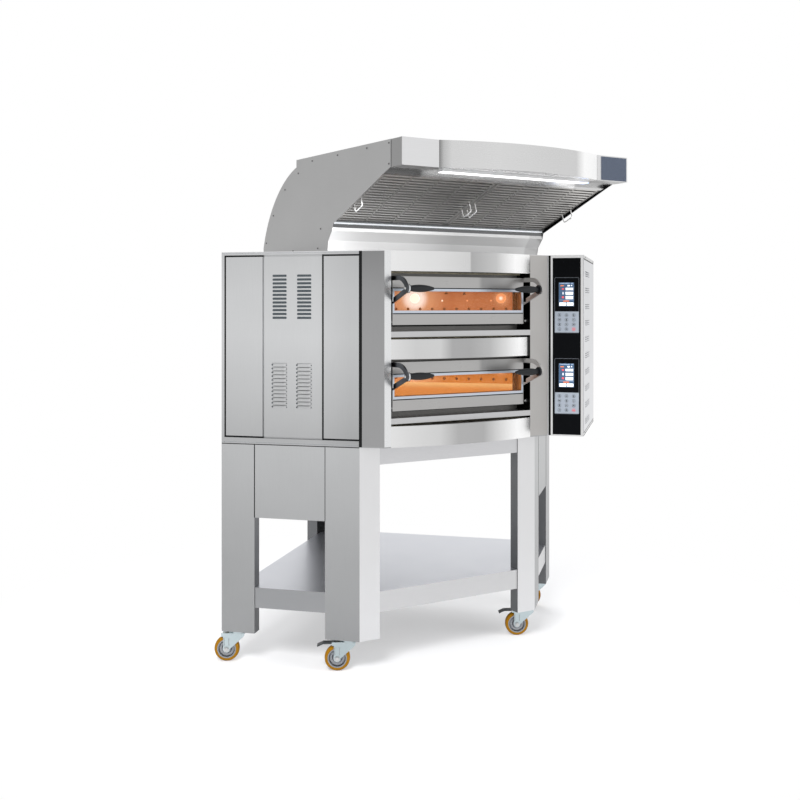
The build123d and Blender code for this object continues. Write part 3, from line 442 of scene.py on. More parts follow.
# Across the opening, the greys that each bowed panel shows: painted reflections, light and dark bands of the
# studio.
BOWS = (
    ("bow_top", "Top fascia sheet", (
        (0.0, 234), (0.1, 230), (0.3, 222), (0.5, 208), (0.512, 174), (0.57, 182), (0.7, 198),
        (0.8, 236), (0.86, 254), (0.992, 254), (1.0, 150),
    )),
    ("bow_middle", "Middle fascia sheet", (
        (0.0, 222), (0.15, 206), (0.3, 208), (0.38, 172), (0.5, 171), (0.65, 186), (0.78, 220),
        (0.9, 254), (0.968, 254), (0.972, 82), (1.0, 76),
    )),
    ("bow_bottom", "Bottom fascia sheet", (
        (0.0, 226), (0.15, 216), (0.3, 208), (0.42, 178), (0.6, 176), (0.75, 222), (0.88, 254), (1.0, 246),
    )),
)


# Each chamber's two coppers for its walls' painted lamp light; the dull one is also the walls' own colour.
CHAMBER_TONES = {
    "upper": (tone(186, 124, 88), tone(150, 90, 56)),
    "lower": (tone(196, 132, 64), tone(172, 108, 44)),
}


# Sheets and metals: name, display colour, roughness, grain, streaks and clouds.
# The same stainless steel takes a grey of its own on each part, set partly by how that part meets the light:
# painted light as well as finish.
STEELS = {
    "roof": ("Roof sheet", (228, 228, 229), 0.42, LEVEL),
    "column": ("Left column sheet", (166, 166, 167)),
    "right_column": ("Right column sheet", (182, 180, 178), 0.34),
    "sill": ("Sill sheet", (196, 196, 197), 0.30, LEVEL),
    "stand": ("Stand sheet", (196, 197, 198), 0.42),
    "rail": ("Stand rail sheet", (206, 206, 208), 0.40, LEVEL),
    "shelf": ("Shelf sheet", (204, 204, 205), 0.34, LEVEL, 0.05, 0.06),
    "hood": ("Hood sheet", (198, 198, 198), 0.40, LEVEL),
    "hood_side": ("Hood side sheet", (196, 196, 196), 0.40, LEVEL),
    "hood_cover": ("Hood corner sheet", (222, 222, 223), 0.34, LEVEL),
    "filter": ("Filter steel", (206, 204, 201), 0.34, LEVEL),
    "casing": ("Control casing sheet", (222, 222, 222), 0.38),
    "cover": ("Control cover sheet", (230, 231, 233), 0.44),
    "screw": ("Screw steel", (118, 118, 118), 0.28, UPRIGHT, 0.2, 0.1),
    "zinc": ("Zinc plate", (186, 198, 201), 0.32, LEVEL, 0.08, 0.5),
    "pin": ("Pin steel", (196, 196, 196), 0.22, LEVEL),
    "cast": ("Fan metal", (168, 170, 172), 0.46, UPRIGHT, 0.1, 0.3),
    "element": ("Element sheath", (96, 88, 82), 0.5, LEVEL, 0.2, 0.5),
    "hub": ("Hub alloy", (158, 160, 164), 0.42, UPRIGHT, 0.2, 0.2),
    "bearing": ("Bearing steel", (206, 208, 212), 0.20, LEVEL),
}
DRESSES = {
    "column": column_painted_light, "right_column": right_column_painted_shade, "stand": leg_painted_light, "shelf": shelf_painted_light,
    "hood_side": hood_painted_shade, "hood_cover": corner_painted_shade, "filter": filter_dress,
}
# Plastics and lacquers: name, display colour, roughness, fleck, specular, pebble, its strength and metal.
MOULDINGS = {
    "bezel": ("Bezel", (70, 74, 80), 0.30),
    "red_ink": ("Red mark", (206, 52, 58), 0.5),
    "electrics": ("Power unit shell", (120, 124, 128), 0.5),
    "scorched": ("Scorched opening", (108, 56, 26), 0.7, 0.3),
    "slot": ("Shadowed slot", (52, 58, 62), 0.6, 0.2),
    "grey_shade_line": ("Narrow slot", (128, 130, 134), 0.6, 0.2),
    "black": ("Black rubber", (12, 13, 14), 0.6, 0.3, 0.2),
    "membrane": ("Keypad membrane", (140, 147, 156), 0.5, 0.05, 0.2),
    "ink": ("Keypad marks", (4, 5, 8), 0.6, 0.1, 0.05),
    "pedal": ("Dark pedal lacquer", (60, 64, 66), 0.34, 0.3, 0.5, 400.0, 0.08, 0.6),
    "glass_black": ("Black control glass", (8, 9, 11), 0.12, 0.2, 0.03, 300.0, 0.01),
}
LIT_FIELDS = {
    "screen": ("Screen field", (50, 76, 104)),
    "white_box": ("Screen box", (238, 242, 246)),
    "orange_mark": ("Screen mark", (214, 116, 66)),
    "red_mark": ("Screen sign", (210, 72, 76)),
    "pale_line": ("Screen line", (150, 170, 196)),
}
WHITE = (1.0, 1.0, 1.0, 1.0)
BLACK = (0.0, 0.0, 0.0, 1.0)


def make_finishes():
    colours = bpy.context.scene.oven_colours
    FINISHES["side"] = steel("Side sheet", tuple(colours.side_steel), 0.40, dress=side_painted_light)
    for key, (name, colour, *more) in STEELS.items():
        FINISHES[key] = steel(name, tone(*colour), *more, dress=DRESSES.get(key))
    for key, (name, colour, *more) in MOULDINGS.items():
        FINISHES[key] = moulded(name, tone(*colour), *more)
    for key, (name, colour) in LIT_FIELDS.items():
        FINISHES[key] = lit(name, tone(*colour))
    for key, name, run in BOWS:
        FINISHES[key] = steel(name, WHITE, 0.24, UPRIGHT, 0.05, 0.04, bow_painted_reflection(*run))
    FINISHES["hood_front"] = steel("Hood fascia sheet", WHITE, 0.26, LEVEL, 0.05, 0.04, hood_front_painted_light)
    # The splash sheet's glow is painted light from the strip light above it.
    FINISHES["splash"] = steel("Splash sheet", WHITE, 0.20, LEVEL, 0.05, 0.04, splash_painted_light, 0.22)
    for name, deck in DECKS.items():
        FINISHES[f"{name}_door"] = steel(
            f"Door steel {name}", tone(176, 175, 174), 0.30, LEVEL, dress=door_dress(deck),
        )
        FINISHES[f"{name}_handles"] = handle_finish(f"Handle finish {name}")
        FINISHES[f"{name}_chamber"] = chamber_finish(f"Chamber steel {name}", deck, *CHAMBER_TONES[name])
    FINISHES["amber"] = moulded("Amber tyre", tuple(colours.tyre), 0.5, 0.16, 0.2, 700.0)
    FINISHES["plate"] = moulded("Slate plate", tuple(colours.hood_plate), 0.36, 0.06, 0.2)
    FINISHES.update(stone=stone_finish(), blanket=blanket_finish())
    FINISHES.update(glass=glass_finish(), lamp=lamp_finish(), lens=lens_finish())


def lit(name, colour):
    """A lit display field: its own colour, and a little light of the same."""
    shade = new_shade(name)
    cell = shade.noise(1600.0, 1.0)
    glow = shade.shaded(colour, 0.94 + cell * 0.12)
    return shade.surface(base_color=glow, emission_color=glow, emission_strength=0.3, roughness=0.3)


def handle_finish(name):
    """Left bracket painted dark and right bracket bright, as painted shade and painted highlight, and black
    turned grips with a pale ring at the left.
    """
    shade = new_shade(name)
    x = shade.axes()[0]
    streak = shade.noise(420.0, 3.0, LEVEL)
    pebble = shade.noise(1100.0, 2.0)
    left = x < DOOR[0] + 0.01
    right = x > DOOR[1] - 0.01
    ring = x.between(DOOR[0] + 0.01, DOOR[0] + 6.5)
    metal = left + right + ring
    # The left bracket is painted dark and the right one bright: painted shade and painted highlight.
    colour = shade.mix(left, tone(14, 16, 19), tone(86, 88, 92))
    colour = shade.mix(right, colour, tone(150, 148, 146))
    colour = shade.mix(ring, colour, tone(206, 208, 210))
    grain = metal * (streak - 0.5) * 0.14 + (1.0 - metal) * (pebble - 0.5) * 0.2
    colour = shade.shaded(colour, 1.0 + grain)
    rough = 0.46 - metal * 0.14 + (streak - 0.5) * 0.08
    normal = shade.bump(pebble, 0.05, 0.0003)
    sheen = metal - right * 0.65
    return shade.surface(
        base_color=colour, roughness=rough, metallic=sheen, normal=normal, specular_ior_level=0.35,
    )


def distance_to(axes, place):
    """The distance in millimetres from a place, along as many axes as it has."""
    total = 0.0
    for axis, middle in zip(axes, place):
        step = axis - middle
        total = step * step + total
    return total.maths("SQRT", total)


def lamp_centre(along, deck):
    return (along * HALF, CHAMBER_REACH - along * HALF, deck + LAMP_UP)


def chamber_finish(name, deck, warm, dull):
    """Grey flange steel round the mouth, painted near black beyond the door as painted shade; inside, copper
    steel that glows with painted lamp light, brightest round the lamps, with a painted flare at each.
    """
    shade = new_shade(name)
    x, y, z = axes = shade.axes()
    inside = y > 71.0
    streak = shade.noise(300.0, 3.0, UPRIGHT)
    patches = shade.noise(5.0, 4.0)
    band = shade.noise(11.0, 3.0, (1.0, 1.0, 0.12))
    low = 1.0 - (z - deck).ramp(40.0, 120.0)
    painted_lamp_light = shade.mix((patches - 0.35) * 1.2 + (band - 0.45) * 2.4 - low * 0.3, warm, dull)
    flare = 0.0
    # Round each lamp a painted pool of light and a painted flare.
    for along, core, halo in LAMP_PLACES:
        away = distance_to(axes, lamp_centre(along, deck))
        painted_lamp_light = shade.mix((1.0 - away.ramp(core * 0.5, halo)) * 0.75, painted_lamp_light, tone(255, 206, 160))
        flare = (1.0 - away.ramp(core * 0.7, core * 1.7)) + flare
    grain = 1.0 + (streak - 0.5) * 0.14
    # Beyond the door's ends the flange is painted near black: painted shade.
    beyond = (x > DOOR[1] + 1.0) + (x < DOOR[0] - 1.0)
    flange = shade.mix(beyond, tone(104, 103, 101), tone(22, 22, 23))
    base = shade.shaded(shade.mix(inside, flange, dull), grain)
    # The walls inside glow with the painted lamp light.
    glow = shade.shaded(shade.mix(inside, BLACK, painted_lamp_light), grain * 0.64)
    glow = shade.mix(flare * inside, glow, tone(255, 250, 240))
    rough = 0.36 + (patches - 0.5) * 0.2
    normal = shade.bump(streak, 0.06, 0.0004)
    return shade.surface(
        base_color=base, roughness=rough, metallic=0.75, normal=normal,
        emission_color=glow, emission_strength=1.0,
    )


def stone_finish():
    """Fired stone with a painted glow that stands in for the lamps' light, warm and brightest towards the
    rear walls.
    """
    shade = new_shade("Deck stone")
    x, y = shade.axes()[:2]
    grit = shade.noise(240.0, 5.0)
    stain = shade.noise(7.0, 4.0)
    colour = shade.mix(stain, tone(212, 176, 128), tone(168, 126, 84))
    colour = shade.shaded(colour, 0.88 + grit * 0.24)
    before = (CHAMBER_REACH - x - y) * HALF
    # The stone glows: painted lamp light, brightest towards the rear walls.
    lit_run = shade.mix(before.ramp(60.0, 420.0), tone(255, 222, 150), tone(226, 152, 78))
    glow = shade.shaded(lit_run, 0.66 + grit * 0.1)
    normal = shade.bump(grit, 0.25, 0.0008)
    return shade.surface(
        base_color=colour, roughness=0.85 + (grit - 0.5) * 0.1, normal=normal,
        emission_color=glow, emission_strength=0.8,
    )


def lamp_finish():
    """Oven lamps: the middle one glares, and the far one glows at its heart."""
    shade = new_shade("Lamp glass")
    x, y, z = shade.axes()
    frost = shade.noise(300.0, 2.0)
    glare = x < 460.0
    glow = tone(214, 150, 104)
    for deck in DECKS.values():
        away = distance_to((x, y, z), lamp_centre(LAMP_PLACES[1][0], deck))
        glow = shade.mix(1.0 - away.ramp(8.0, 17.0), glow, tone(255, 255, 250))
    glow = shade.mix(glare, glow, tone(255, 255, 252))
    glow = shade.shaded(glow, 0.95 + frost * 0.1)
    return shade.surface(base_color=glow, emission_color=glow, emission_strength=1.0, roughness=0.3)


def blanket_finish():
    shade = new_shade("Mineral blanket")
    fibre = shade.noise(160.0, 6.0, (1.0, 1.0, 4.0))
    colour = shade.mix(fibre, tone(214, 206, 182), tone(176, 166, 140))
    normal = shade.bump(fibre, 0.5, 0.002)
    return shade.surface(base_color=colour, roughness=0.95 + (fibre - 0.5) * 0.05, normal=normal)


def glass_finish():
    """Clear door glass with a faint warm film."""
    shade = new_shade("Door glass")
    film = shade.noise(6.0, 3.0)
    colour = shade.mix(film, tone(216, 140, 84), tone(190, 116, 66))
    clear = 0.05 + film * 0.06
    return shade.surface(
        base_color=colour, roughness=0.04 + film * 0.03, alpha=clear, specular_ior_level=0.3,
    )


def lens_finish():
    """The strip light: a lit lens in a steel housing, cooler at its right end."""
    shade = new_shade("Strip light")
    x, y, z = shade.axes()
    lens = z < ROOF + 261.99
    cool = x.ramp(250.0, 330.0)
    frost = shade.noise(200.0, 2.0)
    light = shade.mix(cool, tone(255, 255, 255), tone(186, 208, 255))
    base = shade.mix(lens, tone(200, 200, 200), light)
    glow = shade.mix(lens, BLACK, shade.shaded(light, 0.95 + frost * 0.1))
    return shade.surface(base_color=base, emission_color=glow, emission_strength=1.3, roughness=0.35)


# Pieces from bmesh operators

def join(bm, part, matrix, material=0):
    """Places a part that was drawn in a face's frame, and adds it to the piece."""
    bmesh.ops.transform(part, matrix=matrix, verts=part.verts)
    for face in part.faces:
        face.material_index = material
    mesh = bpy.data.meshes.new("part")
    part.to_mesh(mesh)
    part.free()
    bm.from_mesh(mesh)
    bpy.data.meshes.remove(mesh)


def thicken(part, thickness):
    """Draws flat faces out of their face, towards the viewer."""
    raised = bmesh.ops.extrude_face_region(part, geom=part.faces[:])["geom"]
    moved = [g for g in raised if isinstance(g, bmesh.types.BMVert)]
    bmesh.ops.translate(part, vec=(0, -thickness, 0), verts=moved)
    bmesh.ops.recalc_face_normals(part, faces=part.faces)


STAND_UP = Matrix.Rotation(math.radians(90), 4, "X")


def around(middle, half):
    return (middle - half, middle + half)


def round_off(part, geom, radius, segments, affect="EDGES"):
    bmesh.ops.bevel(
        part, geom=geom, offset=radius, segments=segments, profile=0.5, affect=affect, material=-1,
    )


def on_face(x, z, y=0.0):
    """Lays a grid of size 1 on a face, between limits on x and z."""
    size = Matrix.Diagonal(((x[1] - x[0]) / 2, (z[1] - z[0]) / 2, 1.0, 1.0))
    return Matrix.Translation((sum(x) / 2, y, sum(z) / 2)) @ STAND_UP @ size


def add_block(bm, frame_matrix, x, y, z, bevel=0.0, material=0):
    """A block between limits on the three axes of a face's frame, with its edges rounded."""
    part = bmesh.new()
    size = Matrix.Diagonal((x[1] - x[0], y[1] - y[0], z[1] - z[0], 1.0))
    middle = Matrix.Translation((sum(x) / 2, sum(y) / 2, sum(z) / 2))
    bmesh.ops.create_cube(part, size=1.0, matrix=middle @ size)
    if bevel:
        round_off(part, part.edges[:], bevel, 2)
    join(bm, part, frame_matrix, material)


def add_card(bm, frame_matrix, x, z, y, thickness, radius=0.0, border=0.0, material=0):
    """A thin plate on a face, with rounded corners; with a border it is only a frame."""
    part = bmesh.new()
    bmesh.ops.create_grid(part, x_segments=1, y_segments=1, size=1.0, matrix=on_face(x, z, y))
    if radius:
        round_off(part, part.verts[:], radius, 5, "VERTICES")
    if border:
        inside = part.faces[:]
        bmesh.ops.inset_region(part, faces=inside, thickness=border, use_even_offset=True, use_boundary=True)
        bmesh.ops.delete(part, geom=inside, context="FACES")
    thicken(part, thickness)
    join(bm, part, frame_matrix, material)


def add_disc(bm, frame_matrix, x, z, y, radius, thickness, hole=0.0, segments=24, material=0):
    """A round plate or ring on a face."""
    part = bmesh.new()
    lay = Matrix.Translation((x, y, z)) @ STAND_UP
    bmesh.ops.create_circle(part, cap_ends=not hole, segments=segments, radius=radius, matrix=lay)
    if hole:
        bmesh.ops.create_circle(part, cap_ends=False, segments=segments, radius=hole, matrix=lay)
        bmesh.ops.bridge_loops(part, edges=part.edges[:])
    thicken(part, thickness)
    join(bm, part, frame_matrix, material)


def add_screw(bm, frame_matrix, x, z, radius):
    """A pan-head screw with a socket, standing on a face."""
    part = bmesh.new()
    high = radius * 0.5
    lay = Matrix.Translation((x, 0, z)) @ STAND_UP @ Matrix.Translation((0, 0, high / 2))
    bmesh.ops.create_cone(
        part, cap_ends=True, segments=14, radius1=radius, radius2=radius * 0.72, depth=high, matrix=lay,
    )
    top = min(part.faces, key=lambda f: f.calc_center_median().y)
    bmesh.ops.inset_individual(part, faces=[top], thickness=radius * 0.34)
    bmesh.ops.translate(part, vec=(0, high * 0.6, 0), verts=list(top.verts))
    join(bm, part, frame_matrix)


def add_lathe(bm, profile, centre, axis, steps=48, material=0):
    """A profile of (along the axis, radius) pairs, turned round the axis."""
    part = bmesh.new()
    closed = profile[0][1] > 0
    verts = [part.verts.new((a, 0, r)) for a, r in profile]
    after = verts[1:] + verts[:1] if closed else verts[1:]
    edges = [part.edges.new(pair) for pair in zip(verts, after)]
    bmesh.ops.spin(
        part, geom=verts + edges, cent=(0, 0, 0), axis=(1, 0, 0), angle=math.tau, steps=steps,
        use_merge=True,
    )
    bmesh.ops.remove_doubles(part, verts=part.verts, dist=0.001)
    bmesh.ops.recalc_face_normals(part, faces=part.faces)
    turn = Vector((1, 0, 0)).rotation_difference(Vector(axis).normalized()).to_matrix().to_4x4()
    join(bm, part, Matrix.Translation(centre) @ Matrix.Scale(MM, 4) @ turn, material)


def add_louvre(bm, frame_matrix, x, z, depth):
    """A pressed louvre: flush at its top and ends, and standing off along its lower edge."""
    part = bmesh.new()
    bmesh.ops.create_grid(part, x_segments=10, y_segments=4, size=1.0, matrix=on_face(x, z))
    high = z[1] - z[0]
    for v in part.verts:
        end = min(1.0, min(v.co.x - x[0], x[1] - v.co.x) / (high * 0.6))
        drop = (z[1] - v.co.z) / high
        v.co.y -= depth * math.sin(end * math.pi / 2) * math.sin(drop * math.pi / 2)
    join(bm, part, frame_matrix)


def finish_piece(name, bm, materials, body="oven_body", replaces=(), angle=32.0, sheet=0.0):
    """Makes the object, at the origin, gives it its finishes and lets it ride on a body."""
    mesh = bpy.data.meshes.new(name)
    bm.to_mesh(mesh)
    bm.free()
    for key in materials:
        mesh.materials.append(FINISHES[key])
    mesh.polygons.foreach_set("use_smooth", [True] * len(mesh.polygons))
    mesh.set_sharp_from_angle(angle=math.radians(angle))
    piece = bpy.data.objects.new(name, mesh)
    bpy.context.scene.collection.objects.link(piece)
    if sheet:
        skin = piece.modifiers.new("Thickness", "SOLIDIFY")
        skin.thickness = sheet * MM
        skin.offset = 0.0
    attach(piece, body)
    if replaces:
        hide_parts(*replaces)


# Settings

def length(name, description, millimetres):
    return bpy.props.FloatProperty(
        name=name, description=description, default=millimetres * MM, min=0.0, unit="LENGTH",
    )


def colour(name, description, value):
    return bpy.props.FloatVectorProperty(
        name=name, description=description, default=value, size=4, min=0.0, max=1.0, subtype="COLOR",
    )


class OvenSizes(bpy.types.PropertyGroup):
    louvre_depth: length("Louvre depth", "How far the lower louvres stand off the side panel", 4.5)
    cover_louvre_depth: length("Cover louvre depth", "How far the control cover's louvres stand off", 2.2)
    screw_radius: length("Screw radius", "Radius of the panel screws", 4.0)
    gap_shade_width: length("Gap shade width", "Width of the black strips of painted shade beside the columns", 13.0)
    gasket_width: length("Gasket width", "Width of the gasket round a chamber mouth", 9.0)
    mark_radius: length("Keypad mark radius", "Radius of the round keypad marks", 7.0)


class OvenColours(bpy.types.PropertyGroup):
    side_steel: colour("Side steel", "Colour of the side panels", tone(220, 221, 222))
    tyre: colour("Tyre", "Colour of the castor tyres", tone(142, 98, 0))
    hood_plate: colour("Hood plate", "Colour of the bare plate on the hood", tone(64, 71, 84))
    floor: colour("Floor", "Colour of the floor", (0.86, 0.86, 0.87, 1.0))


# Operators

# The finish of each frame node.
FINISH_NODES = {
    "side": "base_pan right_side_wall rear_wall left_side_frame left_louvred_panel left_plain_panels",
    "roof": "roof_panel", "column": "column_left", "right_column": "column_right",
    "bow_bottom": "fascia_bottom", "bow_middle": "fascia_middle", "bow_top": "fascia_top",
    "sill": "door_sills", "pin": "door_hinge_pins", "stone": "deck_stones", "element": "heating_elements",
    "lower_chamber": "chamber_lower", "upper_chamber": "chamber_upper", "lamp": "chamber_lamps",
    "blanket": "insulation", "casing": "control_casing", "cover": "control_side_cover",
    "glass_black": "control_glass", "membrane": "control_keypads", "electrics": "power_unit",
    "black": "cable_gland", "stand": "stand_legs side_aprons", "rail": "front_rail rear_rails",
    "shelf": "stand_shelf", "hood": "hood_top_panel exhaust_spigot", "hood_side": "hood_side_panels",
    "hood_cover": "hood_corner_covers", "hood_front": "hood_fascia", "splash": "splash_panel",
    "lens": "light_bar", "filter": "baffle_filters", "cast": "fan_motor fan_impeller",
    "lower_door": "lower_door_frame", "upper_door": "upper_door_frame",
    "glass": "lower_door_glass upper_door_glass", "lower_handles": "lower_door_handles",
    "upper_handles": "upper_door_handles", "pedal": "brake_pedal_front_left brake_pedal_front_right",
    "zinc": " ".join(["castor_plates", *(f"castor_{place}_fork" for place in CASTORS)]),
    "amber": " ".join(f"castor_{place}_wheel" for place in CASTORS),
}


class OVEN_OT_finishes(bpy.types.Operator):
    """Make the finishes and give each frame part its own"""

    bl_idname = "oven.finishes"
    bl_label = "Finishes"

    def execute(self, context):
        make_finishes()
        for finish, names in FINISH_NODES.items():
            for name in names.split():
                materials = frame["nodes"][name].data.materials
                materials.clear()
                materials.append(FINISHES[finish])
        return {"FINISHED"}


# The side louvres: where each column starts along the panel, and the two blocks of rows.
LOUVRE_COLUMNS = (296.0, 398.0)
LOUVRE_WIDTH = 57.0
LOUVRE_ROWS = 12
LOUVRE_PITCH = 15.0
SLOTS_FOOT = 1370.0
LOUVRES_FOOT = 1022.0


class OVEN_OT_side_louvres(bpy.types.Operator):
    """Press the louvres over the slots of the left service panel, with dark cards in the upper slots and
    dark dots at the louvres' ends: painted shade
    """

    bl_idname = "oven.side_louvres"
    bl_label = "Side louvres"

    def execute(self, context):
        depth = context.scene.oven_sizes.louvre_depth / MM
        bm = bmesh.new()
        face = left_frame()
        for along in LOUVRE_COLUMNS:
            left, right = -along - LOUVRE_WIDTH, -along
            for row in range(LOUVRE_ROWS):
                z = SLOTS_FOOT + row * LOUVRE_PITCH
                # A dark card in each upper slot: painted shade.
                add_card(bm, face, (left - 0.5, right + 0.5), (z - 0.6, z + 8.0), 0.0, 0.4, 3.4, material=1)
                add_block(bm, face, (left, right + 1.0), (-1.2, 0.0), (z - 2.6, z - 0.8), 0.5)
                z = LOUVRES_FOOT + row * LOUVRE_PITCH
                add_louvre(bm, face, (left - 1.0, right + 1.0), (z - 1.5, z + 9.0), depth)
                # Dark dots at each louvre's ends: painted shade.
                add_disc(bm, face, left - 1.5, z + 1.5, 0.0, 3.2, 0.4, segments=12, material=1)
                add_disc(bm, face, right + 1.0, z + 0.5, 0.0, 1.8, 0.4, segments=12, material=1)
        finish_piece("side_louvres", bm, ["side", "slot"], sheet=0.6, angle=50.0)
        return {"FINISHED"}


# The cover's louvres: ten groups of three below the roof.
COVER_TOP = ROOF - 66.0
COVER_GROUPS = 10
GROUP_PITCH = 70.0
GROUP_ROWS = 3
COVER_PITCH = 9.0


class OVEN_OT_cover_louvres(bpy.types.Operator):
    """Press the louvres over the slots of the control box's side cover, each with a grey strip of painted
    shade under it
    """

    bl_idname = "oven.cover_louvres"
    bl_label = "Cover louvres"

    def execute(self, context):
        depth = context.scene.oven_sizes.cover_louvre_depth / MM
        bm = bmesh.new()
        face = cover_frame(CONTROL_FRONT + 100.0)
        for group in range(COVER_GROUPS):
            for row in range(GROUP_ROWS):
                z = COVER_TOP - group * GROUP_PITCH - row * COVER_PITCH
                add_louvre(bm, face, (0.0, 200.0), (z - 0.5, z + 5.5), depth)
                # A grey strip under each louvre: painted shade.
                add_block(bm, face, (4.0, 196.0), (-depth - 0.8, 0.0), (z - 2.2, z - 0.4), 0.4, material=1)
        finish_piece("cover_louvres", bm, ["cover", "grey_shade_line"], sheet=0.6, angle=50.0)
        return {"FINISHED"}


class OVEN_OT_gap_shades(bpy.types.Operator):
    """Fill the gaps beside the columns with black strips: painted shade"""

    bl_idname = "oven.seals"
    bl_label = "Column gap shades"

    def execute(self, context):
        half = context.scene.oven_sizes.gap_shade_width / MM / 2
        bm = bmesh.new()
        add_block(bm, left_frame(95.5), (-half, half), (-0.4, 6.0), (STAND + 1, ROOF - 1), 1.0)
        x, y = right_point(CONTROL_FRONT + 4.0, CONTROL_IN - 7.0)
        gap = face_frame(x, y, 0.0, (HALF, HALF))
        add_block(bm, gap, (-3.0, 6.6), (0.0, 8.0), (STAND + 1, ROOF - 1), 1.0)
        add_block(bm, gap, (-6.8, -3.2), (-0.4, 8.0), (STAND + 1, ROOF - 1), 0.5, material=1)
        finish_piece("column_gap_shades", bm, ["black", "cover"])
        return {"FINISHED"}


class OVEN_OT_joint_strips(bpy.types.Operator):
    """Fill the joints round the plain side panels, and those of the stand and the hood, with black and grey
    strips: painted shade in the gaps
    """

    bl_idname = "oven.joint_strips"
    bl_label = "Joint strips"

    def execute(self, context):
        bm = bmesh.new()
        face = left_frame()
        low, high = STAND + 24.0, ROOF - 13.0
        for near, far in ((101.0, 251.0), (498.0, 660.0)):
            add_block(bm, face, (-far, 7.0 - far), (0.2, 8.0), (low, high))
            for z in ((low + 1.0, low + 7.0), (high - 7.0, high - 1.0)):
                add_block(bm, face, (-far, -near), (0.2, 8.0), z)
        for side, hand in ((face, -1), (right_frame(), 1)):
            for along, half in ((532.0, 1.8), (239.0, 1.2)):
                add_block(bm, side, around(hand * along, half), (-0.6, 0.4), (STAND - 291.0, STAND - 1.0))
            ends = sorted((hand * 100.0, hand * 671.0))
            add_block(bm, side, ends, (-0.6, 0.4), (STAND - 2.6, STAND + 0.4))
        cover = cover_frame(CONTROL_FRONT)
        for z, width in ((ROOF - 17.4, 4.0), (STAND + 13.4, 2.0), (STAND + 1.4, 2.0)):
            add_block(bm, cover, (14.0, SIDE_LENGTH - CONTROL_FRONT - 14.0), (-0.4, 0.4), (z, z + width))
        add_block(bm, cover, (12.0, 14.2), (-0.4, 0.4), (STAND + 14.0, ROOF - 14.0), material=1)
        add_block(bm, cover, (-0.2, 1.6), (-0.3, 0.4), (STAND + 1.0, ROOF - 1.0), material=1)
        for z in (STAND + 6.0, ROOF - 5.6):
            add_block(bm, face, (-670.0, -102.0), (-0.3, 0.4), (z, z + 1.4), material=1)
        for hand in (-1, 1):
            cheek = face_frame(hand * HOOD_SIDE, 0.0, ROOF, (-hand, 0.0))
            add_block(bm, cheek, around(hand * (HOOD_FRONT + 75.0), 1.2), (-0.5, 0.4), (273.0, 366.0))
        finish_piece("joint_strips", bm, ["black", "grey_shade_line"])
        return {"FINISHED"}


class OVEN_OT_chamber_details(bpy.types.Operator):
    """Darken the holes of the chamber walls with discs of painted shade, and fit the rivets, which glow in
    the lamp finish as painted glints, and the baffle tabs
    """

    bl_idname = "oven.chamber_details"
    bl_label = "Chamber details"

    def execute(self, context):
        for name, deck in DECKS.items():
            bm = bmesh.new()
            face = chamber_wall(deck)
            for i in range(15):
                # Dark discs over the holes: painted shade.
                add_disc(bm, face, 48.0 + i * 60.0, 60.0, -0.2, 7.0, 0.8, segments=14)
            for along, up in ((598.0, 136.0), (686.0, 133.0)):
                add_disc(bm, face, along, up, -0.2, 11.0, 1.0, segments=3)
            for along in (578.0, 700.0, 815.0):
                # The rivets take the lamp finish, which glows: painted glints.
                add_disc(bm, face, along, 100.0, -0.2, 4.0, 1.4, segments=12, material=1)
            finish_piece(f"{name}_chamber_details", bm, ["scorched", "lamp"])
        return {"FINISHED"}


# A chamber's mouth: its left and right, its height over the deck, and the gasket's depth.
MOUTH = (-296.5, 309.0)
MOUTH_HEIGHT = 182.5
GASKET_DEPTH = (63.0, 68.0)


class OVEN_OT_gaskets(bpy.types.Operator):
    """Fit a gasket round each chamber mouth"""

    bl_idname = "oven.gaskets"
    bl_label = "Door gaskets"

    def execute(self, context):
        width = context.scene.oven_sizes.gasket_width / MM
        bm = bmesh.new()
        front = face_frame(0, 0, 0)
        left, right = MOUTH
        for deck in DECKS.values():
            top = deck + MOUTH_HEIGHT
            full = (left - width, right + width)
            add_block(bm, front, full, GASKET_DEPTH, (top - 1, top - 1 + width * 0.7), 2.0)
            for x in ((left - width, left - 0.5), (right + 0.5, right + width)):
                add_block(bm, front, x, GASKET_DEPTH, (deck + 15, top), 2.0)
            add_block(bm, front, full, (65.2, 68.0), (deck - 7, deck + 1.5), 1.2)
        finish_piece("door_gaskets", bm, ["black"])
        return {"FINISHED"}


# Screws of a hood side, as places back and up, and those of a rear wall, along it from the corner.
HOOD_SCREWS = (
    (-310, 357), (-150, 359), (80, 362), (300, 366), (-310, 284),
    (430, 330), (560, 275), (680, 175), (755, 60), (250, 14), (480, 14), (700, 14), (225, 90),
)
REAR_SCREWS = (40.0, 330.0, 610.0, 900.0, 1130.0)


class OVEN_OT_screws(bpy.types.Operator):
    """Drive the screws of the hood, rear walls and control box"""

    bl_idname = "oven.screws"
    bl_label = "Panel screws"

    def execute(self, context):
        radius = context.scene.oven_sizes.screw_radius / MM
        bm = bmesh.new()
        for hand in (-1, 1):
            side = face_frame(hand * HOOD_SIDE, 0, ROOF, (-hand, 0.0))
            for y, z in HOOD_SCREWS:
                add_screw(bm, side, hand * y, z, radius)
            for along in REAR_SCREWS:
                for z in (STAND + 18, STAND + 380, ROOF - 18):
                    place = (hand * along * HALF, REAR_REACH - along * HALF, z)
                    add_screw(bm, face_frame(*place, (-hand * HALF, -HALF)), 0, 0, radius)
        for along in (150.0, 640.0):
            for z in (STAND + 7, ROOF - 7):
                add_screw(bm, cover_frame(along), 0, z, radius * 0.8)
        finish_piece("panel_screws", bm, ["screw"])
        return {"FINISHED"}


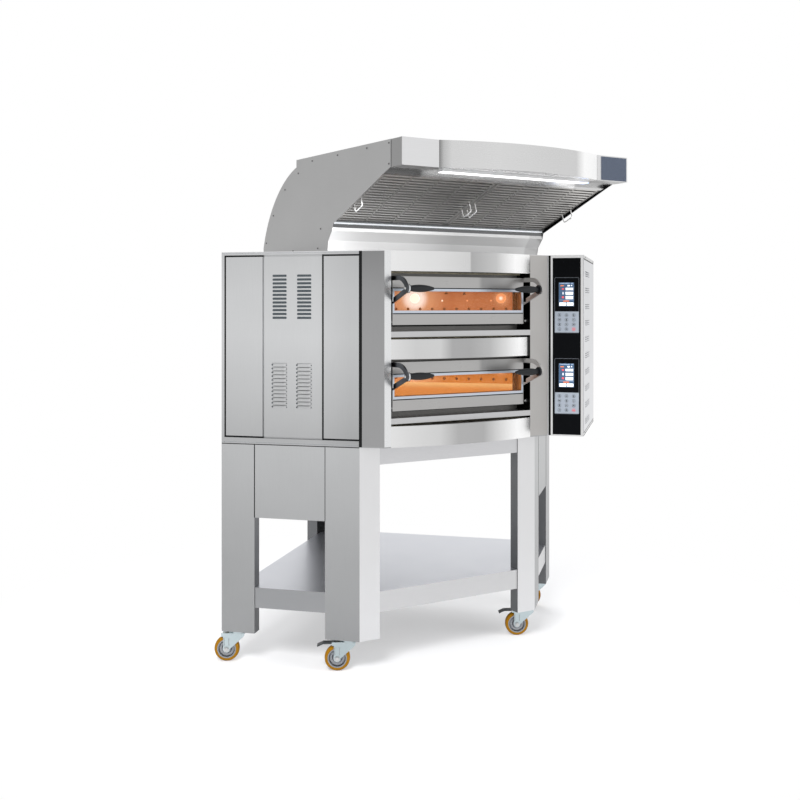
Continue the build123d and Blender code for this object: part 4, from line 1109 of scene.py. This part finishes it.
class OVEN_OT_hood_plate(bpy.types.Operator):
    """Fix the bare plate to the hood's right corner cover"""

    bl_idname = "oven.hood_plate"
    bl_label = "Hood plate"

    def execute(self, context):
        bm = bmesh.new()
        front = face_frame(0, HOOD_FRONT, 0)
        add_card(bm, front, (380.0, 509.0), (1907.5, 1998.0), 0.0, 1.6, 1.5, material=0)
        add_card(bm, front, (378.5, 510.5), (1906.0, 1999.5), 0.0, 1.0, 2.0, material=1)
        finish_piece("hood_plate", bm, ["plate", "hood_cover"])
        return {"FINISHED"}


class OVEN_OT_hood_trim(bpy.types.Operator):
    """Lay the drip edge under the filters, made bright by the screens' glowing white as a painted highlight,
    and the seam on the splash panel
    """

    bl_idname = "oven.hood_trim"
    bl_label = "Hood trim"

    def execute(self, context):
        bm = bmesh.new()
        front = face_frame(0, 0, ROOF)
        # The drip edge glows: painted highlight.
        add_block(bm, front, (-512.0, 512.0), (127.0, 132.5), (104.5, 110.5), 1.0, material=2)
        add_block(bm, front, (444.5, 446.5), (159.2, 160.4), (42.0, 76.0), 0.3, material=1)
        finish_piece("hood_trim", bm, ["cover", "black", "white_box"])
        return {"FINISHED"}


class OVEN_OT_control_bezels(bpy.types.Operator):
    """Set a thin raised outline round each screen"""

    bl_idname = "oven.control_bezels"
    bl_label = "Control bezels"

    def execute(self, context):
        bm = bmesh.new()
        for drop in (0.0, CONTROL_PITCH):
            face = control_frame(0.0, ROOF - drop)
            add_card(bm, face, (15.5, 118.5), (-327.5, -93.8), 0.0, 0.9, 5.0, 2.0)
            add_card(bm, face, (31.5, 99.5), (-217.5, -112.5), 0.0, 1.3, 2.0, 2.0, material=1)
        finish_piece("control_bezels", bm, ["bezel", "glass_black"])
        return {"FINISHED"}


# The marks of a screen from the lowest layer up: finish, limits across and limits down, in millimetres.
SCREEN_MARKS = (
    ("pale_line", 3, 46, 2.5, 5), ("pale_line", 50, 60, 2.5, 5), ("orange_mark", 7, 21, 11.5, 16),
    ("white_box", 36, 46, 10.5, 16.5), ("white_box", 51, 55, 10.5, 15.5), ("red_mark", 13, 21.5, 24, 31),
    ("white_box", 28, 59.5, 22.5, 32.5), ("white_box", 15.5, 19.5, 40, 50),
    ("white_box", 28, 59.5, 39.5, 51.5), ("red_mark", 13, 21.5, 58, 66), ("white_box", 28, 59.5, 57, 70),
    ("pale_line", 2, 61, 73, 74.2), ("orange_mark", 18, 43, 76, 80.5), ("white_box", 2, 30, 84, 97.5),
    ("white_box", 33, 61, 84, 97.5), ("red_mark", 41, 47, 26.8, 28.4), ("red_mark", 41, 47, 44.8, 46.4),
    ("red_mark", 41, 47, 62.8, 64.4), ("screen", 44, 50, 89, 92.6),
)
MARK_FACE = -1.42
MARK_STEP = 0.02


class OVEN_OT_screens(bpy.types.Operator):
    """Light the two screens, with plain fields and no lettering"""

    bl_idname = "oven.screens"
    bl_label = "Screens"

    def execute(self, context):
        finishes = ["screen", "white_box", "orange_mark", "red_mark", "pale_line"]
        for name, drop in (("upper", 0.0), ("lower", CONTROL_PITCH)):
            bm = bmesh.new()
            face = control_frame(34.0, ROOF - SCREEN_DROP - drop)
            add_card(bm, face, (0.3, 62.7), (-99.7, -0.3), -1.2, 0.25, 0.8)
            for order, (key, left, right, top, foot) in enumerate(SCREEN_MARKS):
                lift = MARK_FACE - order * MARK_STEP
                index = finishes.index(key)
                add_card(bm, face, (left, right), (-foot, -top), lift, 0.12, 0.6, material=index)
            finish_piece(f"{name}_screen", bm, finishes)
        return {"FINISHED"}


# The keypads: rows down, columns across, and half the width and height of the bars in two kinds of mark.
KEY_ROWS = (15.0, 34.7, 54.3, 74.0)
KEY_COLUMNS = (18.5, 48.0, 78.0)
KEY_FACE = -1.2
BARS = {1: (3.4, 1.7), 2: (1.8, 3.6)}


class OVEN_OT_keypad_marks(bpy.types.Operator):
    """Print the round marks on the keypads"""

    bl_idname = "oven.keypad_marks"
    bl_label = "Keypad marks"

    def execute(self, context):
        radius = context.scene.oven_sizes.mark_radius / MM
        bm = bmesh.new()
        for drop in (0.0, CONTROL_PITCH):
            face = control_frame(18.0, ROOF - KEYPAD_DROP - drop)
            for row, down in enumerate(KEY_ROWS):
                z = -down
                for column, x in enumerate(KEY_COLUMNS):
                    ink, width = (1, 1.5) if row == 3 and column == 2 else (0, 1.1)
                    add_disc(bm, face, x, z, KEY_FACE, radius, 0.15, radius - width, material=ink)
                    kind = (row + column) % 4
                    if kind == 0:
                        add_disc(bm, face, x, z, KEY_FACE, 4.2, 0.2, segments=3, material=ink)
                    elif kind == 3:
                        add_disc(bm, face, x, z, KEY_FACE, 2.6, 0.15, 1.4, material=ink)
                    else:
                        wide, high = BARS[kind]
                        add_card(bm, face, around(x, wide), around(z, high), KEY_FACE, 0.2, material=ink)
        finish_piece("keypad_marks", bm, ["ink", "red_ink"])
        return {"FINISHED"}


class OVEN_OT_handle_fixings(bpy.types.Operator):
    """Fit the screws through the handle brackets"""

    bl_idname = "oven.handle_fixings"
    bl_label = "Handle fixings"

    def execute(self, context):
        for name, deck in DECKS.items():
            bm = bmesh.new()
            for hand, x in ((-1, DOOR[0] - 7.0), (1, DOOR[1] + 7.0)):
                side = face_frame(x, 0, deck, (-hand, 0.0))
                add_screw(bm, side, hand * -85.0, 141.0, 6.0)
                for z in (84.0, 176.0):
                    add_screw(bm, side, hand * 30.0, z, 4.0)
            finish_piece(f"{name}_handle_fixings", bm, ["pin"], f"{name}_door")
        return {"FINISHED"}


TYRE = (
    (-16, 38), (-16, 43.5), (-15.2, 45.6), (-13, 47.8), (-9.5, 49.4), (-4, 50),
    (4, 50), (9.5, 49.4), (13, 47.8), (15.2, 45.6), (16, 43.5), (16, 38),
)
HUB = (
    (-16.5, 33), (-16.5, 37.2), (-15.7, 38), (15.7, 38), (16.5, 37.2), (16.5, 33), (14.5, 31.5),
    (6.5, 29.5), (5.0, 27), (5.0, 21), (7.0, 18.5), (14.5, 17), (16.2, 16), (16.2, 12.5),
    (-16.2, 12.5), (-16.2, 16), (-14.5, 17), (-7.0, 18.5), (-5.0, 21), (-5.0, 27), (-6.5, 29.5),
    (-14.5, 31.5),
)
WASHER = ((22, 0), (22, 10.4), (23.4, 10.4), (23.9, 9.8), (23.9, 0))
NUT = ((23.5, 0), (23.5, 8.6), (28.6, 8.6), (29.6, 7.2), (29.6, 0))
BEARING = ((-17, 6.4), (-17, 11.6), (-16.4, 12.4), (16.4, 12.4), (17, 11.6), (17, 6.4))


def castor_axles():
    """Each castor's name, with the centre and the direction of its axle."""
    rolls = {joint["child"]: joint for joint in frame["joints"]}
    for name in CASTORS:
        joint = rolls[f"castor_{name}_wheel"]
        yield name, Vector(joint["pos_m"]), Vector(joint["axis"])


class OVEN_OT_wheels(bpy.types.Operator):
    """Turn the castor wheels: an amber tyre, a dished hub and its bearing"""

    bl_idname = "oven.wheels"
    bl_label = "Castor wheels"

    def execute(self, context):
        for name, centre, axis in castor_axles():
            body = f"castor_{name}_wheel"
            bm = bmesh.new()
            add_lathe(bm, TYRE, centre, axis, 64)
            finish_piece(f"{body}_tyre", bm, ["amber"], body, [body])
            bm = bmesh.new()
            add_lathe(bm, HUB, centre, axis, 64)
            add_lathe(bm, BEARING, centre, axis, 48, 1)
            finish_piece(f"{body}_hub", bm, ["hub", "bearing"], body)
        return {"FINISHED"}


class OVEN_OT_axle_nuts(bpy.types.Operator):
    """Fit the axle nuts to the castor forks"""

    bl_idname = "oven.axle_nuts"
    bl_label = "Axle nuts"

    def execute(self, context):
        for name, centre, axis in castor_axles():
            bm = bmesh.new()
            for hand in (-1, 1):
                for profile, steps in ((WASHER, 32), (NUT, 6)):
                    add_lathe(bm, [(hand * a, r) for a, r in profile], centre, axis, steps)
            finish_piece(f"castor_{name}_axle_nuts", bm, ["pin"], f"castor_{name}_fork")
        return {"FINISHED"}


class OVEN_OT_fork_ribs(bpy.types.Operator):
    """Press the two ribs into each cheek of the castor forks, with a grey stripe of painted shade down each
    """

    bl_idname = "oven.fork_ribs"
    bl_label = "Fork ribs"

    def execute(self, context):
        for name, centre, axis in castor_axles():
            bm = bmesh.new()
            for hand in (-1, 1):
                out = axis.normalized() * hand
                into = -out
                right = into.cross(Vector((0, 0, 1)))
                turn = Matrix((right, into, (0, 0, 1))).transposed().to_4x4()
                cheek = Matrix.Translation(centre + out * 22.0 * MM) @ turn @ Matrix.Scale(MM, 4)
                for x in (-9.5, 9.5):
                    add_block(bm, cheek, around(x, 2.6), (-1.8, 0.5), (13.0, 44.0), 1.2)
                    # A grey stripe down the rib: painted shade.
                    add_block(bm, cheek, around(x, 0.9), (-2.0, 0.0), (15.0, 42.0), 0.3, material=1)
            fork = f"castor_{name}_fork"
            finish_piece(f"{fork}_ribs", bm, ["zinc", "grey_shade_line"], fork)
        return {"FINISHED"}


class OVEN_OT_stage(bpy.types.Operator):
    """Set up the floor, the lamps, the world and the camera"""

    bl_idname = "oven.stage"
    bl_label = "Stage"

    def execute(self, context):
        make_floor(tuple(context.scene.oven_colours.floor))
        make_world()
        make_lamps()
        make_camera()
        context.scene.view_settings.view_transform = "Standard"
        return {"FINISHED"}


# The studio is a little dimmer away from its bright side, which only sheen shows.
BRIGHT_SIDE = (0.5, -0.84, 0.2)
DIM_SIDE = 0.34
FILL_LIGHT = 0.72
FILL_COLOUR = (0.97, 0.98, 1.0, 1.0)
# Round this place the floor shows its shadow, which fades out between these distances.
SHADOW_MIDDLE = (0.0, STAND_MIDDLE)
SHADOW_FADE = (900.0, 2000.0)
# How white the floor is where it shows its shadow.
FLOOR_WHITE = 0.36


def seen(shade):
    """1 where the camera, a reflection or clear glass looks at the backdrop."""
    kinds = ("Is Camera Ray", "Is Glossy Ray", "Is Transmission Ray")
    camera, glossy, clear = shade.node("ShaderNodeLightPath", out=kinds)
    rays = camera + glossy + clear
    return rays.maths("MINIMUM", rays, 1.0)


def make_floor(colour_of_floor):
    bm = bmesh.new()
    bmesh.ops.create_grid(bm, x_segments=1, y_segments=1, size=30.0)
    bmesh.ops.translate(bm, vec=(0, 0, -0.0004), verts=bm.verts)
    mesh = bpy.data.meshes.new("Floor")
    bm.to_mesh(mesh)
    bm.free()
    floor = bpy.data.objects.new("Floor", mesh)
    bpy.context.scene.collection.objects.link(floor)
    shade = new_shade("Pale floor")
    axes = shade.axes()
    far = distance_to(axes, SHADOW_MIDDLE).ramp(*SHADOW_FADE)
    speck = shade.noise(30.0, 3.0)
    paint = shade.node(
        "ShaderNodeBsdfDiffuse",
        sockets={"Color": shade.shaded(colour_of_floor, 0.99 + speck * 0.02)},
    )
    white = shade.node("ShaderNodeEmission", sockets={"Color": WHITE, "Strength": 1.0})
    share = seen(shade) * (FLOOR_WHITE + far * (1.0 - FLOOR_WHITE))
    mixed = shade.node("ShaderNodeMixShader", sockets={0: share, 1: paint, 2: white})
    shade.node("ShaderNodeOutputMaterial", sockets={"Surface": mixed})
    mesh.materials.append(shade.owner)


def make_world():
    world = bpy.data.worlds.new("Studio")
    bpy.context.scene.world = world
    shade = Shade(world)
    view = shade.node("ShaderNodeTexCoord", out="Generated")
    bright_side = shade.node(
        "ShaderNodeVectorMath",
        {"operation": "DOT_PRODUCT"},
        {0: view, 1: Vector(BRIGHT_SIDE).normalized()},
        out="Value",
    )
    glossy = shade.node("ShaderNodeLightPath", out="Is Glossy Ray")
    dim = (1.0 - bright_side.ramp(-1.0, 1.0)) * glossy * DIM_SIDE
    back = shade.node("ShaderNodeBackground", sockets={"Color": WHITE, "Strength": 1.0 - dim})
    fill = shade.node("ShaderNodeBackground", sockets={"Color": FILL_COLOUR, "Strength": FILL_LIGHT})
    mixed = shade.node("ShaderNodeMixShader", sockets={0: seen(shade), 1: fill, 2: back})
    shade.node("ShaderNodeOutputWorld", sockets={"Surface": mixed})


LAMPS = (
    ("Key", (-3.2, -3.0, 4.2), 1.8, 280.0),
    ("Fill", (2.6, -4.2, 2.6), 3.0, 110.0),
    ("Back", (1.5, 3.6, 3.6), 3.0, 110.0),
)


def make_lamps():
    for name, place, size, power in LAMPS:
        data = bpy.data.lights.new(name, "AREA")
        data.size = size
        data.energy = power
        lamp = bpy.data.objects.new(name, data)
        lamp.location = place
        lamp.rotation_euler = (Vector((0, 0, 1.0)) - Vector(place)).to_track_quat("-Z", "Y").to_euler()
        lamp.visible_glossy = False
        bpy.context.scene.collection.objects.link(lamp)


def make_camera():
    data = bpy.data.cameras.new("Camera")
    data.sensor_width = 36.0
    data.lens = 47.47
    data.shift_y = -0.117
    camera = bpy.data.objects.new("Camera", data)
    camera.location = at(-2371.2, -3503.4, 1418.4)
    camera.rotation_euler = (math.radians(90), 0, math.radians(-30.77))
    bpy.context.scene.collection.objects.link(camera)
    bpy.context.scene.camera = camera


PIECES = (
    OVEN_OT_finishes,
    OVEN_OT_side_louvres,
    OVEN_OT_cover_louvres,
    OVEN_OT_gap_shades,
    OVEN_OT_joint_strips,
    OVEN_OT_chamber_details,
    OVEN_OT_gaskets,
    OVEN_OT_screws,
    OVEN_OT_hood_plate,
    OVEN_OT_hood_trim,
    OVEN_OT_control_bezels,
    OVEN_OT_screens,
    OVEN_OT_keypad_marks,
    OVEN_OT_handle_fixings,
    OVEN_OT_wheels,
    OVEN_OT_axle_nuts,
    OVEN_OT_fork_ribs,
    OVEN_OT_stage,
)


class OVEN_PT_pieces(bpy.types.Panel):
    """The oven's settings and its pieces"""

    bl_idname = "OVEN_PT_pieces"
    bl_label = "Deck pizza oven"
    bl_space_type = "VIEW_3D"
    bl_region_type = "UI"
    bl_category = "Oven"

    def draw(self, context):
        layout = self.layout
        for settings in (context.scene.oven_sizes, context.scene.oven_colours):
            box = layout.box()
            for name in settings.__annotations__:
                box.prop(settings, name)
        for piece in PIECES:
            layout.operator(piece.bl_idname)


CLASSES = (OvenSizes, OvenColours, *PIECES, OVEN_PT_pieces)


def register():
    for made in CLASSES:
        bpy.utils.register_class(made)
    bpy.types.Scene.oven_sizes = bpy.props.PointerProperty(type=OvenSizes)
    bpy.types.Scene.oven_colours = bpy.props.PointerProperty(type=OvenColours)


def unregister():
    del bpy.types.Scene.oven_colours
    del bpy.types.Scene.oven_sizes
    for made in reversed(CLASSES):
        bpy.utils.unregister_class(made)


def main():
    register()
    for piece in PIECES:
        getattr(bpy.ops.oven, piece.bl_idname.split(".")[1])()


if __name__ == "__main__":
    main()
